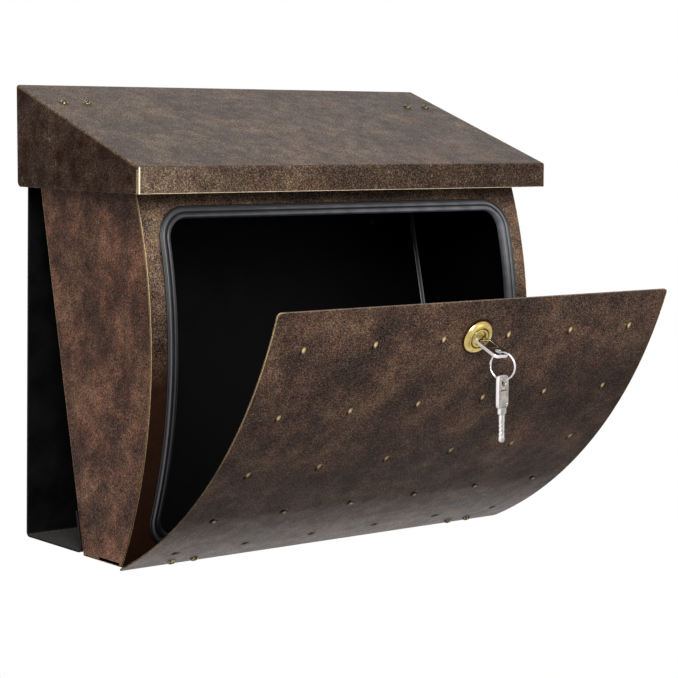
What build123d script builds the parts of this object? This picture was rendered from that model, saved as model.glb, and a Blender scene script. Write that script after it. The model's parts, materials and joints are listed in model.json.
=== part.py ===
from build123d import *
import os
from math import asin, atan, cos, radians, sin, sqrt, tan

os.makedirs("parts", exist_ok=True)

# Wall mounted mailbox. Millimetres. X runs along the wall, +Z is up and -Y is out from the wall.
# The origin is on the wall face, in the middle of the four wall screw holes.
# The door is modelled shut on the body and then swung open to its rest pose.

# ---- sheet metal and clearances
sheet = 1.2               # hood, body and door
bracket_sheet = 1.5       # wall bracket
seam_gap = 0.1            # between a curved sheet and what is welded or clipped to it
leaf_gap = 0.02           # between a curved hinge leaf and the sheet it lies on
run_gap = 0.35            # between pieces that move past each other
pin_fit = 0.05            # hinge pin in its knuckles, on the radius
hole_fit = 0.1            # screw or rivet in its hole, on the radius

# ---- hood
hood_width = 400.0
hood_depth = 168.2
hood_rear_height = 78.0
hood_lip_height = 19.3
hood_bend = 2.2           # outer radius of its folds
hood_corner = 4.5         # rounded lower rear corner of each skirt
hood_rear_lean = 2.25     # the skirt's rear edge leans forward by this much at its foot
hood_wall_gap = 4.7       # wall face to the hood's rear edge
corner_seam = 0.6         # open seam between each skirt and the front lip
hood_rest_gap = 0.3       # shut hood above the top edge of the body's front, which it rests on
hood_foot_z = 100.0       # lower edge of the hood above the wall screws' middle

# ---- body
hood_overhang = 14.5      # hood beyond each side of the body
body_width = hood_width - 2 * hood_overhang
body_foot_z = -174.4
bow_radius = 344.8        # outer face of the bowed front frame
bow_front_y = -169.7      # where the bow stands furthest from the wall
bow_z = -19.3             # height of that place
back_y_at_hood = -17.0    # rear face of the body, level with the hood's lower edge
back_lean = 13.1          # degrees that the back leans away from the wall, going down
back_upper_y = -9.5       # the upright strip at the top of the back
back_bend = 3.0           # outer radius of the fold below it
tray_flange = 9.0         # upturned rear edge of the bottom tray
relief_rear_y = -101.5    # shallow relief in the foot of each side panel
relief_length = 28.0
relief_height = 1.6

# ---- opening and its rubber edge seal
seal_side_margin = 14.0   # edge of the body to the seal, at each side
seal_half_width = body_width / 2 - seal_side_margin
seal_top_margin = 10.5    # hood's lower edge to the seal
seal_foot_margin = 13.9   # foot of the body to the seal
seal_top_z = hood_foot_z - seal_top_margin
seal_foot_z = body_foot_z + seal_foot_margin
seal_band = 9.0           # width of the seal on the frame
seal_height = 4.6
seal_corner = 24.0        # outer corner radius
seal_wall = 1.1           # rubber inside the edge of the opening
seal_clip = 2.0           # thickness of the lip behind the frame
seal_clip_band = 6.5
seal_groove = 1.6         # groove between the seal's two ridges
seal_groove_depth = 1.9

# ---- inlet deck under the hood, with the mail slot
slot_side_margin = 20.5
slot_width = body_width - 2 * slot_side_margin
slot_reach = 70.0         # along the slope
slot_from_pin = 47.0      # hinge pin to the slot's rear edge, along the slope
slot_rim = 6.0            # folded rim under the slot

# ---- door
door_side_lap = 1.9       # door beyond each side of the body
door_width = body_width + 2 * door_side_lap
door_foot_drop = 5.05     # shut door's lower edge below the body's
door_stand_off = 6.5      # frame face to the door's outer face
door_top_gap = 1.8        # shut door to the hood's lower edge
open_angle = 39.1         # degrees from shut to its stop
dimple_columns = 6
dimple_rows = 5
dimple_side_margin = 30.15
dimple_pitch_x = (door_width - 2 * dimple_side_margin) / (dimple_columns - 1)
dimple_pitch_arc = 55.9
dimple_top_margin = 29.7
dimple_width = 7.5
dimple_depth = 0.8
dimple_back = 0.35        # how far each dimple stands out inside
door_corner = 3.2         # radius of its four corners

# ---- hinges
pin_radius = 1.1
pin_head_radius = 1.7
pin_head = 0.6
pin_play = 0.15           # end play of each pin's heads
screw_spacing = 20.4      # between the two screws of a hinge
leaf = 1.0                # thickness of the door hinge leaves
door_knuckle = 2.3        # outer radius
door_hinge_inset = 34.7   # side of the seal to the middle of each door hinge
door_hinge_x = seal_half_width - door_hinge_inset
door_hinge_length = 42.0
door_pin_rise = 8.72      # door's lower edge to the pin, round the bow
door_screw_rise = 9.5     # door's lower edge to the screws
door_mid_knuckle = 15.0   # length of the body leaf's knuckle
door_end_knuckle = 8.0    # length of each of the door leaf's knuckles
door_leaf_low = 6.0       # door leaf below the pin
door_leaf_high = 9.0      # and above it
frame_leaf_low = 2.2
frame_leaf_high = 8.6
frame_rivet_spacing = 28.0
frame_rivet_rise = 5.8
hood_leaf = 1.2           # thickness of the hood hinge leaves
hood_knuckle = 2.3
hood_pin_stand = 2.5      # pin to the hood's inner face, and to the deck
hood_hinge_inset = 28.6   # side of the hood to the middle of each hood hinge
hood_hinge_x = hood_width / 2 - hood_hinge_inset
hood_hinge_length = 28.0
hood_mid_knuckle = 9.0
hood_pin_y = -8.7
hood_screw_reach = 35.5   # pin to the hood screws, along the slope
hood_leaf_margin = 6.0
deck_leaf_reach = 24.0
deck_rivet_reach = 15.0
deck_rivet_spacing = 16.0

# ---- screws, nuts and rivets
m3_radius = 1.5
m3_head_radius = 3.15
m3_head_height = 1.8
m3_nut_flats = 5.5
m3_nut_height = 2.4
screw_past_nut = 0.3      # how far a screw's end passes its nut
m5_radius = 2.5
m5_head_radius = 4.75
m5_head_height = 2.75
m5_nut_flats = 8.0
m5_nut_height = 4.0
rivet_radius = 1.5
rivet_head_radius = 2.7
rivet_head = 0.9

# ---- wall bracket
bracket_width = body_width + 3.0
bracket_top_z = hood_foot_z + 68.0
bracket_foot_z = body_foot_z + 1.8
bracket_bend = 4.0        # outer radius of its folds
ledge_flange = 31.0       # upturned front edge of the ledge
hanger_width = 36.0
hanger_z = 66.0           # height of the upper body screws
hanger_flange = 34.0
body_screw_inset = 47.0   # side of the body to each body screw
body_screw_x = body_width / 2 - body_screw_inset
lower_screw_rise = 15.6   # ledge to the lower body screws
lower_screw_z = bracket_foot_z + lower_screw_rise
wall_hole_spacing_x = 200.0
wall_hole_spacing_z = 180.0
wall_hole_radius = 3.25
trim_margin = 20.0        # how far a trimming solid reaches past what it trims

# ---- cam lock
lock_top_margin = 28.8    # door's top edge to the lock, round the bow
rosette_radius = 13.0
rosette_height = 3.8
barrel_radius = 7.5
barrel_length = 20.0      # the plug ends flush with this, the housing just short of it
plug_radius = 5.2
plug_fit = 0.1
plug_proud = 1.8
lock_nut_flats = 18.0
lock_nut_height = 3.5
post_side = 6.8           # square end of the plug that carries the cam
cam_thickness = 2.0
cam_width = 13.0
cam_reach = 28.0
cam_crank = 8.0           # how far its tip is set towards the door
cam_crank_start = 9.0
cam_crank_run = 6.0
cam_screw_radius = 1.5
cam_screw_head_radius = 3.2
cam_screw_head = 2.0
cam_screw_length = 2.7    # into the plug's post

# ---- keys and split ring
bow_thickness = 2.6
bow_length = 23.2
bow_width = 14.0
bow_corner = 3.5
bow_rim = 2.0             # raised border round the shallow panel on each face of the bow
bow_panel = 11.0          # length of that panel
bow_panel_depth = 0.3
key_hole_radius = 2.8
key_hole_inset = 5.0      # hole's middle from the end of the bow
collar_width = 8.4        # shoulder that meets the plug
collar_length = 4.2
blade_width = 5.4
blade_thickness = 2.0
blade_end_wall = 1.8      # end of the blade to the end of the plug
blade_length = plug_proud + barrel_length - blade_end_wall
blade_fit = 0.15
blade_cuts = 4            # down each edge
blade_cut_depth = 0.9
ring_inner = 9.4
ring_outer = 10.3
ring_width = 2.0
ring_turn = 17.6          # degrees that the ring is turned about the vertical
ring_gap_x = 0.52         # ring's middle from the end of the key in the lock: across,
ring_gap_y = 0.62         # towards the wall
ring_drop = 6.82          # and down
ring_play = 0.5           # between the hanging key and the ring's wire


# ---------------------------------------------------------------- derived places
slope = atan((hood_rear_height - hood_lip_height) / hood_depth)
lean = radians(back_lean)
bow_y = bow_front_y + bow_radius
half_body = body_width / 2
hood_rear_y = -hood_wall_gap
hood_front_y = -(hood_wall_gap + hood_depth)
hood_top_z = hood_foot_z + hood_rear_height

deck_top_drop = sheet + 2 * hood_pin_stand        # from the hood's outer face, square to the slope
pin_drop = sheet + hood_pin_stand
hood_pin_z = hood_top_z + (hood_pin_y - hood_rear_y) * tan(slope) - pin_drop / cos(slope)

door_outer = bow_radius + door_stand_off
door_inner = door_outer - sheet
door_top_angle = asin((hood_foot_z - door_top_gap - bow_z) / door_outer)
door_foot_angle = asin((body_foot_z - door_foot_drop - bow_z) / door_outer)
door_pin_angle = door_foot_angle + door_pin_rise / door_outer
door_pin_r = bow_radius + (door_stand_off - sheet) / 2
door_pin_y = bow_y - door_pin_r * cos(door_pin_angle)
door_pin_z = bow_z + door_pin_r * sin(door_pin_angle)
lock_angle = door_top_angle - lock_top_margin / door_outer

x_axis = (1, 0, 0)


def slope_z(y, drop):
    """Height of the plane that lies drop below the hood's outer face, square to it."""
    return hood_top_z + (y - hood_rear_y) * tan(slope) - drop / cos(slope)


def back_y(z, inward=0.0):
    """Rear face of the leaning back, or a plane that lies inward of it, towards the door."""
    return back_y_at_hood + (z - hood_foot_z) * tan(lean) - inward / cos(lean)


def bow_point(r, angle):
    return (bow_y - r * cos(angle), bow_z + r * sin(angle))


def slab(outline, x0, x1):
    """Extrude a closed outline of (y, z) points along X."""
    face = Plane.YZ.offset(x0) * make_face(Polyline(*outline, close=True))
    return extrude(face, amount=x1 - x0, dir=x_axis)


def bow_shell(r_in, r_out, low, high, x0, x1):
    """Curved sheet round the bow's axis, between two angles."""
    mid = (low + high) / 2
    edge = Curve() + [
        ThreePointArc(bow_point(r_out, low), bow_point(r_out, mid), bow_point(r_out, high)),
        Line(bow_point(r_out, high), bow_point(r_in, high)),
        ThreePointArc(bow_point(r_in, high), bow_point(r_in, mid), bow_point(r_in, low)),
        Line(bow_point(r_in, low), bow_point(r_out, low)),
    ]
    return extrude(Plane.YZ.offset(x0) * make_face(edge), amount=x1 - x0, dir=x_axis)


def bow_drum(r, half):
    """Everything inside the bow, to trim a sheet that ends behind the frame."""
    return Plane(origin=(0, bow_y, bow_z), x_dir=(0, 1, 0), z_dir=x_axis) * Cylinder(r, 2 * half)


def along_x(r, x0, x1, y, z):
    """Round bar along X."""
    bar = Cylinder(r, x1 - x0, align=(Align.CENTER, Align.CENTER, Align.MIN))
    return Plane(origin=(x0, y, z), x_dir=(0, 1, 0), z_dir=x_axis) * bar


def bent_sheet(outline, thickness, x0, x1, bend):
    """Sheet folded along X. The outline follows its outer face and turns left at each fold."""
    inner = []
    last = len(outline) - 1
    for i, (y, z) in enumerate(outline):
        before = outline[max(i - 1, 0)]
        after = outline[min(i + 1, last)]
        u = Vector(y - before[0], z - before[1]) if i else Vector(after[0] - y, after[1] - z)
        v = Vector(after[0] - y, after[1] - z) if i < last else u
        u, v = u.normalized(), v.normalized()
        side_u, side_v = Vector(-u.Y, u.X), Vector(-v.Y, v.X)
        step = (side_u + side_v) * (thickness / (1 + side_u.dot(side_v)))
        inner.append((y + step.X, z + step.Y))
    if len(outline) > 2:
        outer_line = FilletPolyline(*outline, radius=bend)
        inner_line = FilletPolyline(*inner, radius=bend - thickness)
    else:
        outer_line, inner_line = Line(*outline), Line(*inner)
    edge = Curve() + [outer_line, Line(outline[last], inner[last]), inner_line, Line(inner[0], outline[0])]
    return extrude(Plane.YZ.offset(x0) * make_face(edge), amount=x1 - x0, dir=x_axis)


def rounded_ring(half_width, low, high, corner, band, y0, y1):
    """Rounded rectangular tube along Y, seen from the front; band is its wall."""
    outer = RectangleRounded(2 * half_width, high - low, corner)
    hole = RectangleRounded(2 * (half_width - band), high - low - 2 * band, corner - band)
    face = Plane(origin=(0, y0, (high + low) / 2), x_dir=x_axis, z_dir=(0, -1, 0)) * (outer - hole)
    return extrude(face, amount=y0 - y1)


def round_bar(place, r, z0, z1):
    """Round bar along the local z of a place."""
    return place * Pos(0, 0, z0) * Cylinder(r, z1 - z0, align=(Align.CENTER, Align.CENTER, Align.MIN))


def hex_nut(place, flats, bore, z0, height):
    body = extrude(RegularPolygon(flats / 2, 6, major_radius=False), amount=height)
    return place * Pos(0, 0, z0) * body - round_bar(place, bore, z0, z0 + height)


def pan_screw(place, r, head_r, head_h, length):
    """Cross recessed pan head screw: the head stands on local z = 0, the shank goes down."""
    head = Pos(0, 0, head_h / 2) * Cylinder(head_r, head_h)
    head = fillet(head.edges().group_by(Axis.Z)[-1], head_h * 0.7)
    arm = Pos(0, 0, head_h) * Box(head_r * 1.15, head_r * 0.24, head_h)
    head -= arm
    head -= Rot(0, 0, 90) * arm
    shank = Pos(0, 0, -length / 2) * Cylinder(r, length)
    return place * (head + shank)


def dome_rivet(place, r, head_r, head_h, grip):
    """Dome head on local z = 0, shank through the grip, and the formed head below."""
    def head(base, way):
        disc = Pos(0, 0, base + way * head_h / 2) * Cylinder(head_r, head_h)
        rim = disc.edges().sort_by(Axis.Z)
        return fillet([rim[-1] if way > 0 else rim[0]], head_h * 0.8)
    shank = Pos(0, 0, -grip / 2) * Cylinder(r, grip)
    return place * (head(0, 1) + shank + head(-grip, -1))


def bow_place(x, r, angle):
    """Local frame on the bow: x along the wall, y up round the bow, z outward."""
    y, z = bow_point(r, angle)
    return Plane(origin=(x, y, z), x_dir=x_axis, z_dir=(0, -cos(angle), sin(angle)))


def slope_place(x, reach, drop):
    """Local frame on the hood's slope: -y towards the lip, z square to it. Reach is from the pin."""
    y = hood_pin_y - reach * cos(slope) - (pin_drop - drop) * sin(slope)
    z = hood_pin_z - reach * sin(slope) + (pin_drop - drop) * cos(slope)
    return Plane(origin=(x, y, z), x_dir=x_axis, z_dir=(0, -sin(slope), cos(slope)))


def back_place(x, z):
    """Local frame on the leaning back: z square to it, towards the wall."""
    return Plane(origin=(x, back_y(z), z), x_dir=x_axis, z_dir=(0, cos(lean), -sin(lean)))


def swing_open(shape):
    return shape.rotate(Axis((0, door_pin_y, door_pin_z), x_axis), open_angle)


def write(node, shape):
    solids = shape.solids()
    export_step(solids[0] if len(solids) == 1 else Compound(children=list(solids)), f"parts/{node}.step")
    print(f"{node}: {len(solids)} solid(s)")


# ---------------------------------------------------------------- wall bracket
def body_screw_places(inward=0.0):
    return [back_place(side * body_screw_x, z) * Pos(0, 0, -inward)
            for z in (hanger_z, lower_screw_z) for side in (-1, 1)]


def wall_bracket():
    half = bracket_width / 2
    lip_z = bracket_foot_z + ledge_flange
    outline = [(back_y(lip_z), lip_z), (back_y(bracket_foot_z), bracket_foot_z),
               (0, bracket_foot_z), (0, bracket_top_z)]
    solid = bent_sheet(outline, bracket_sheet, -half, half, bracket_bend)
    low, high = hanger_z - hanger_flange / 2, hanger_z + hanger_flange / 2
    hook = [(back_y(high), high), (back_y(low), low), (-bracket_sheet / 2, low)]
    for side in (-1, 1):
        x0 = side * body_screw_x - hanger_width / 2
        solid += bent_sheet(hook, bracket_sheet, x0, x0 + hanger_width, bracket_bend)
    for place in body_screw_places():
        solid -= round_bar(place, m5_radius + hole_fit, -1, bracket_sheet + 1)
    for side in (-1, 1):
        for end in (-1, 1):
            hole = Plane(origin=(side * wall_hole_spacing_x / 2, 0, end * wall_hole_spacing_z / 2),
                         z_dir=(0, -1, 0))
            solid -= round_bar(hole, wall_hole_radius, -1, bracket_sheet + 1)
    return solid


# ---------------------------------------------------------------- body
def under_deck_outline(foot_z, inward):
    """Side view of the space below the deck, open ended towards the front."""
    far = hood_front_y
    bend_z = hood_foot_z + (back_upper_y - back_y_at_hood) / tan(lean) - inward * tan(lean / 2)
    upper = back_upper_y - inward
    drop = deck_top_drop + sheet
    return [(back_y(foot_z, inward), foot_z), (upper, bend_z), (upper, slope_z(upper, drop)),
            (far, slope_z(far, drop)), (far, foot_z)]


def body_side(side):
    x_in, x_out = half_body - sheet, half_body
    x0, x1 = sorted((side * x_in, side * x_out))
    foot = body_foot_z + sheet
    solid = slab(under_deck_outline(foot, 0.0), x0, x1)
    solid &= bow_drum(bow_radius - sheet - seam_gap, half_body + 1)
    relief = slab([(relief_rear_y - relief_length, foot - 1), (relief_rear_y, foot - 1),
                   (relief_rear_y, foot + relief_height),
                   (relief_rear_y - relief_length, foot + relief_height)], x0 - 1, x1 + 1)
    return solid - relief


def body_back():
    foot = body_foot_z + sheet
    bend_z = hood_foot_z + (back_upper_y - back_y_at_hood) / tan(lean)
    top = slope_z(back_upper_y - sheet, deck_top_drop + sheet)
    half = half_body - sheet
    outline = [(back_y(foot), foot), (back_upper_y, bend_z), (back_upper_y, top)]
    solid = bent_sheet(outline, sheet, -half, half, back_bend)
    for place in body_screw_places():
        solid -= round_bar(place, m5_radius + hole_fit, -sheet - 1, 1)
    return solid


def body_bottom():
    top = body_foot_z + sheet
    rear_low, rear_high = back_y(body_foot_z), back_y(top)
    far = hood_front_y
    plate = slab([(rear_low, body_foot_z), (rear_high, top), (far, top), (far, body_foot_z)],
                 -half_body, half_body)
    plate &= bow_drum(bow_radius - sheet - seam_gap, half_body + 1)
    half = half_body - sheet
    lip_z = top + tray_flange
    lip = slab([(back_y(top, sheet), top), (back_y(lip_z, sheet), lip_z),
                (back_y(lip_z, 2 * sheet), lip_z), (back_y(top, 2 * sheet), top)], -half, half)
    return plate + lip


def front_frame():
    low = asin((body_foot_z - bow_z) / bow_radius)
    solid = bow_shell(bow_radius - sheet, bow_radius, low, low + 1.0, -half_body, half_body)
    above = hood_top_z + trim_margin
    front, rear = hood_front_y - 2 * trim_margin, 0
    rest_drop = sheet + hood_rest_gap
    solid -= slab([(rear, slope_z(rear, rest_drop)), (rear, above), (front, above),
                   (front, slope_z(front, rest_drop))], -half_body - 1, half_body + 1)
    inset = seal_band - seal_wall
    window = RectangleRounded(2 * (seal_half_width - inset), seal_top_z - seal_foot_z - 2 * inset,
                              seal_corner - inset)
    face = Plane(origin=(0, 0, (seal_top_z + seal_foot_z) / 2), x_dir=x_axis, z_dir=(0, -1, 0)) * window
    solid -= extrude(face, amount=trim_margin - bow_front_y)
    for place in frame_rivet_places():
        solid -= round_bar(place, rivet_radius + hole_fit, -sheet - 1, 1)
    return solid


def inlet_deck():
    rear = back_upper_y
    far = hood_front_y
    drop = deck_top_drop + sheet
    solid = slab([(rear, slope_z(rear, deck_top_drop)), (far, slope_z(far, deck_top_drop)),
                  (far, slope_z(far, drop)), (rear, slope_z(rear, drop))], -half_body, half_body)
    solid &= bow_drum(bow_radius - sheet - seam_gap, half_body + 1)
    middle = slope_place(0, slot_from_pin + slot_reach / 2, deck_top_drop)
    deep = sheet + slot_rim
    rim = Pos(0, 0, -deep / 2) * Box(slot_width + 2 * sheet, slot_reach + 2 * sheet, deep)
    slot = Box(slot_width, slot_reach, 4 * deep)
    solid = solid + middle * rim - middle * slot
    for place in deck_rivet_places(deck_top_drop):
        solid -= round_bar(place, rivet_radius + hole_fit, -sheet - 1, 1)
    return solid


def door_seal():
    def band(r0, r1, outer_inset, width):
        ring = rounded_ring(seal_half_width - outer_inset, seal_foot_z + outer_inset,
                            seal_top_z - outer_inset, seal_corner - outer_inset, width, 0,
                            bow_front_y - trim_margin)
        reach = radians(35)
        shell = bow_shell(bow_radius + r0, bow_radius + r1, -reach, reach, -half_body, half_body)
        return ring & shell
    face = seam_gap
    solid = band(face, seal_height, 0, seal_band)
    groove_inset = (seal_band - seal_groove) / 2
    solid -= band(seal_height - seal_groove_depth, seal_height + 1, groove_inset, seal_groove)
    behind = -sheet - seam_gap
    solid += band(behind - seal_clip, seal_height / 2, seal_band - seal_wall + seam_gap, seal_wall - seam_gap)
    solid += band(behind - seal_clip, behind, seal_band - seal_clip_band, seal_clip_band)
    return solid


# ---------------------------------------------------------------- hood
def hood_screw_places(drop):
    return [slope_place(side * hood_hinge_x + end * screw_spacing / 2, hood_screw_reach, drop)
            for side in (-1, 1) for end in (-1, 1)]


def hood():
    half = hood_width / 2
    foot_rear = hood_rear_y - hood_rear_lean
    lip_top = hood_foot_z + hood_lip_height
    solid = slab([(hood_rear_y, hood_top_z), (hood_front_y, lip_top), (hood_front_y, hood_foot_z),
                  (foot_rear, hood_foot_z)], -half, half)
    foot_edge = solid.edges().filter_by(Axis.X).group_by(Axis.Z)[0].sort_by(Axis.Y)[-1]
    solid = fillet(foot_edge, hood_corner)
    lip_edge = solid.edges().filter_by(Axis.X).sort_by(Axis.Y)[:2].sort_by(Axis.Z)[-1]
    side_edges = [e for e in solid.edges() if abs(abs(e.center().X) - half) < 0.01
                  and e.length > hood_lip_height - 1
                  and (abs(e.center().Y - hood_front_y) < 0.1 or e.center().Z > lip_top + 5)
                  and e.center().Y < hood_rear_y - 5]
    solid = fillet([lip_edge] + side_edges, hood_bend)
    inner_front = hood_front_y + sheet
    rear, foot = 5, hood_foot_z - 5
    inner = slab([(rear, slope_z(rear, sheet)), (inner_front, slope_z(inner_front, sheet)),
                  (inner_front, foot), (rear, foot)], sheet - half, half - sheet)
    inner_bend = hood_bend - sheet
    inner_edges = [e for e in inner.edges() if e.center().Z > foot + 1 and e.center().Y < rear - 1]
    inner = fillet(inner_edges, inner_bend)
    solid -= inner
    for side in (-1, 1):
        x0, x1 = sorted((side * (half - 2 * sheet), side * (half + 1)))
        seam_rear, seam_top = inner_front + corner_seam, lip_top - hood_bend
        solid -= slab([(inner_front, hood_foot_z - 1), (seam_rear, hood_foot_z - 1),
                       (seam_rear, seam_top), (inner_front, seam_top)], x0, x1)
    for place in hood_screw_places(0):
        solid -= round_bar(place, m3_radius + hole_fit, -sheet - 1, 1)
    return solid


# ---------------------------------------------------------------- hood hinges
def deck_rivet_places(drop):
    return [slope_place(side * hood_hinge_x + end * deck_rivet_spacing / 2, deck_rivet_reach, drop)
            for side in (-1, 1) for end in (-1, 1)]


def hinge_pin(x, length, y, z):
    half = length / 2 + pin_play
    pin = along_x(pin_radius, x - half, x + half, y, z)
    pin += along_x(pin_head_radius, x - half - pin_head, x - half, y, z)
    return pin + along_x(pin_head_radius, x + half, x + half + pin_head, y, z)


def hood_leaf_solid(side):
    """Leaf under the hood, with a knuckle at each end."""
    x = side * hood_hinge_x
    half, mid = hood_hinge_length / 2, hood_mid_knuckle / 2
    place = slope_place(x, 0, pin_drop)
    z0 = hood_pin_stand - hood_leaf
    start = hood_knuckle + 2 * run_gap
    reach = hood_screw_reach + hood_leaf_margin
    solid = place * Pos(0, -(start + reach) / 2, z0 + hood_leaf / 2) * Box(2 * half, reach - start, hood_leaf)
    end_length = half - mid - run_gap
    for end in (-1, 1):
        centre = end * (half - end_length / 2)
        solid += place * Pos(centre, -start / 2, z0 + hood_leaf / 2) * Box(end_length, start, hood_leaf)
        solid += along_x(hood_knuckle, x + centre - end_length / 2, x + centre + end_length / 2,
                         hood_pin_y, hood_pin_z)
    solid -= along_x(pin_radius + pin_fit, x - half - 1, x + half + 1, hood_pin_y, hood_pin_z)
    for spot in hood_screw_places(sheet):
        solid -= round_bar(spot, m3_radius + hole_fit, -hood_leaf - 1, 1)
    return solid


def deck_leaf_solid(side):
    """Leaf on the inlet deck, with the middle knuckle."""
    x = side * hood_hinge_x
    half, mid = hood_hinge_length / 2, hood_mid_knuckle / 2
    place = slope_place(x, 0, pin_drop)
    z_mid = -hood_pin_stand + hood_leaf / 2
    start = hood_knuckle + 2 * run_gap
    plate = Box(2 * half, deck_leaf_reach - start, hood_leaf)
    solid = place * Pos(0, -(start + deck_leaf_reach) / 2, z_mid) * plate
    solid += place * Pos(0, -start / 2, z_mid) * Box(2 * mid, start, hood_leaf)
    solid += along_x(hood_knuckle, x - mid, x + mid, hood_pin_y, hood_pin_z)
    solid -= along_x(pin_radius + pin_fit, x - half - 1, x + half + 1, hood_pin_y, hood_pin_z)
    for spot in deck_rivet_places(deck_top_drop - hood_leaf):
        solid -= round_bar(spot, rivet_radius + hole_fit, -hood_leaf - 1, 1)
    return solid


# ---------------------------------------------------------------- door hinges
def frame_rivet_places():
    angle = door_pin_angle + frame_rivet_rise / bow_radius
    return [bow_place(side * door_hinge_x + end * frame_rivet_spacing / 2, bow_radius, angle)
            for side in (-1, 1) for end in (-1, 1)]


def door_screw_places(r):
    angle = door_foot_angle + door_screw_rise / door_outer
    return [bow_place(side * door_hinge_x + end * screw_spacing / 2, r, angle)
            for side in (-1, 1) for end in (-1, 1)]


def knuckle_root(x0, x1, low, high):
    """Short web that joins a knuckle to its curved leaf."""
    half_web = pin_radius / bow_radius
    return bow_shell(low, high, door_pin_angle - half_web, door_pin_angle + half_web, x0, x1)


def frame_leaf_solid(side):
    """Leaf on the frame, welded and riveted, with the middle knuckle."""
    x = side * door_hinge_x
    half, mid = door_hinge_length / 2, door_mid_knuckle / 2
    r0, r1 = bow_radius + leaf_gap, bow_radius + leaf_gap + leaf
    solid = bow_shell(r0, r1, door_pin_angle - frame_leaf_low / bow_radius,
                      door_pin_angle + frame_leaf_high / bow_radius, x - half, x + half)
    for end in (-1, 1):
        x0, x1 = sorted((x + end * mid, x + end * (half + 1)))
        solid -= along_x(door_knuckle + run_gap, x0, x1, door_pin_y, door_pin_z)
    solid += along_x(door_knuckle, x - mid, x + mid, door_pin_y, door_pin_z)
    solid += knuckle_root(x - mid, x + mid, r0, door_pin_r)
    solid -= along_x(pin_radius + pin_fit, x - half - 1, x + half + 1, door_pin_y, door_pin_z)
    for place in frame_rivet_places():
        solid -= round_bar(place, rivet_radius + hole_fit, -1, leaf + 1)
    return max(solid.solids(), key=lambda s: s.volume)


def door_leaf_solid(side):
    """Leaf inside the door, with a knuckle at each end. The screws are tapped into it."""
    x = side * door_hinge_x
    half, mid = door_hinge_length / 2, door_mid_knuckle / 2
    r1 = door_inner - leaf_gap
    r0 = r1 - leaf
    solid = bow_shell(r0, r1, door_pin_angle - door_leaf_low / door_inner,
                      door_pin_angle + door_leaf_high / door_inner, x - half, x + half)
    solid -= along_x(door_knuckle + run_gap, x - mid - run_gap, x + mid + run_gap, door_pin_y, door_pin_z)
    for end in (-1, 1):
        x0, x1 = sorted((x + end * (half - door_end_knuckle), x + end * half))
        solid += along_x(door_knuckle, x0, x1, door_pin_y, door_pin_z)
        solid += knuckle_root(x0, x1, door_pin_r, r1)
        solid -= along_x(pin_radius + pin_fit, x0 - 1, x1 + 1, door_pin_y, door_pin_z)
    for place in door_screw_places(door_outer):
        solid -= round_bar(place, m3_radius + hole_fit, -2 * door_stand_off, 0)
    return swing_open(solid)


# ---------------------------------------------------------------- door
def door_panel():
    half = door_width / 2
    solid = bow_shell(door_inner, door_outer, door_foot_angle, door_top_angle, -half, half)
    corners = [e for e in solid.edges() if abs(e.length - sheet) < 0.01]
    solid = fillet(corners, door_corner)
    ball = (dimple_width ** 2 / 4 + dimple_depth ** 2) / (2 * dimple_depth)
    centre_r = door_outer - dimple_depth + ball
    back_ball = centre_r - (door_inner - dimple_back)
    inside = bow_drum(door_inner + sheet / 2, half)
    bumps, dents = [], []
    for row in range(dimple_rows):
        angle = door_top_angle - (dimple_top_margin + row * dimple_pitch_arc) / door_outer
        for column in range(dimple_columns):
            x = (column - (dimple_columns - 1) / 2) * dimple_pitch_x
            place = bow_place(x, centre_r, angle)
            bumps.append(place * Sphere(back_ball) & inside)
            dents.append(place * Sphere(ball))
    solid = solid + bumps
    solid = solid - dents
    for place in door_screw_places(door_outer):
        solid -= round_bar(place, m3_radius + hole_fit, -2 * sheet, 1)
    solid -= round_bar(lock_place(), barrel_radius + hole_fit, -2 * sheet, 1)
    return swing_open(solid)


# ---------------------------------------------------------------- cam lock
def lock_place():
    return bow_place(0, door_outer, lock_angle)


def lock_housing():
    bore = plug_radius + plug_fit
    rim, top = rosette_radius, rosette_height
    profile = [(bore, 0), (rim, 0), (rim, 0.35 * top), (rim - 0.9, 0.75 * top), (rim - 2.2, top),
               (rim - 3.4, 0.92 * top), (rim - 4.4, 0.6 * top), (rim - 5.0, 0.6 * top),
               (rim - 5.6, 0.8 * top), (bore + 1.0, 0.86 * top), (bore, 0.7 * top)]
    face = make_face(Plane.XZ * Polyline(*profile, close=True))
    rosette = revolve(face, Axis.Z)
    barrel = round_bar(Plane.XY, barrel_radius, run_gap - barrel_length, 0)
    barrel -= round_bar(Plane.XY, bore, -barrel_length, 1)
    return swing_open(lock_place() * (rosette + barrel))


def lock_nut():
    return swing_open(hex_nut(lock_place() * Rot(0, 0, 30), lock_nut_flats, barrel_radius + hole_fit,
                              -sheet - leaf_gap - lock_nut_height - door_flat_gap(), lock_nut_height))


def door_flat_gap():
    """A flat nut on the hollow side of the bowed door stands off by its sagitta."""
    half = lock_nut_flats / sqrt(3)
    return door_inner - sqrt(door_inner ** 2 - half ** 2)


def lock_plug():
    place = lock_place()
    plug = round_bar(Plane.XY, plug_radius, -barrel_length, plug_proud)
    plug += Pos(0, 0, -barrel_length - cam_thickness / 2) * Box(post_side, post_side, cam_thickness)
    depth = plug_proud + key_root()
    slot = Box(blade_width + 2 * blade_fit, blade_thickness + 2 * blade_fit, depth)
    plug -= Pos(0, 0, plug_proud - depth / 2) * slot
    plug -= round_bar(Plane.XY, cam_screw_radius, -barrel_length - cam_thickness,
                      -barrel_length - cam_thickness + cam_screw_length)
    return swing_open(place * plug)


def key_root():
    """How far the key's blade reaches below the door's outer face."""
    return blade_length - plug_proud + blade_fit


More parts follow.
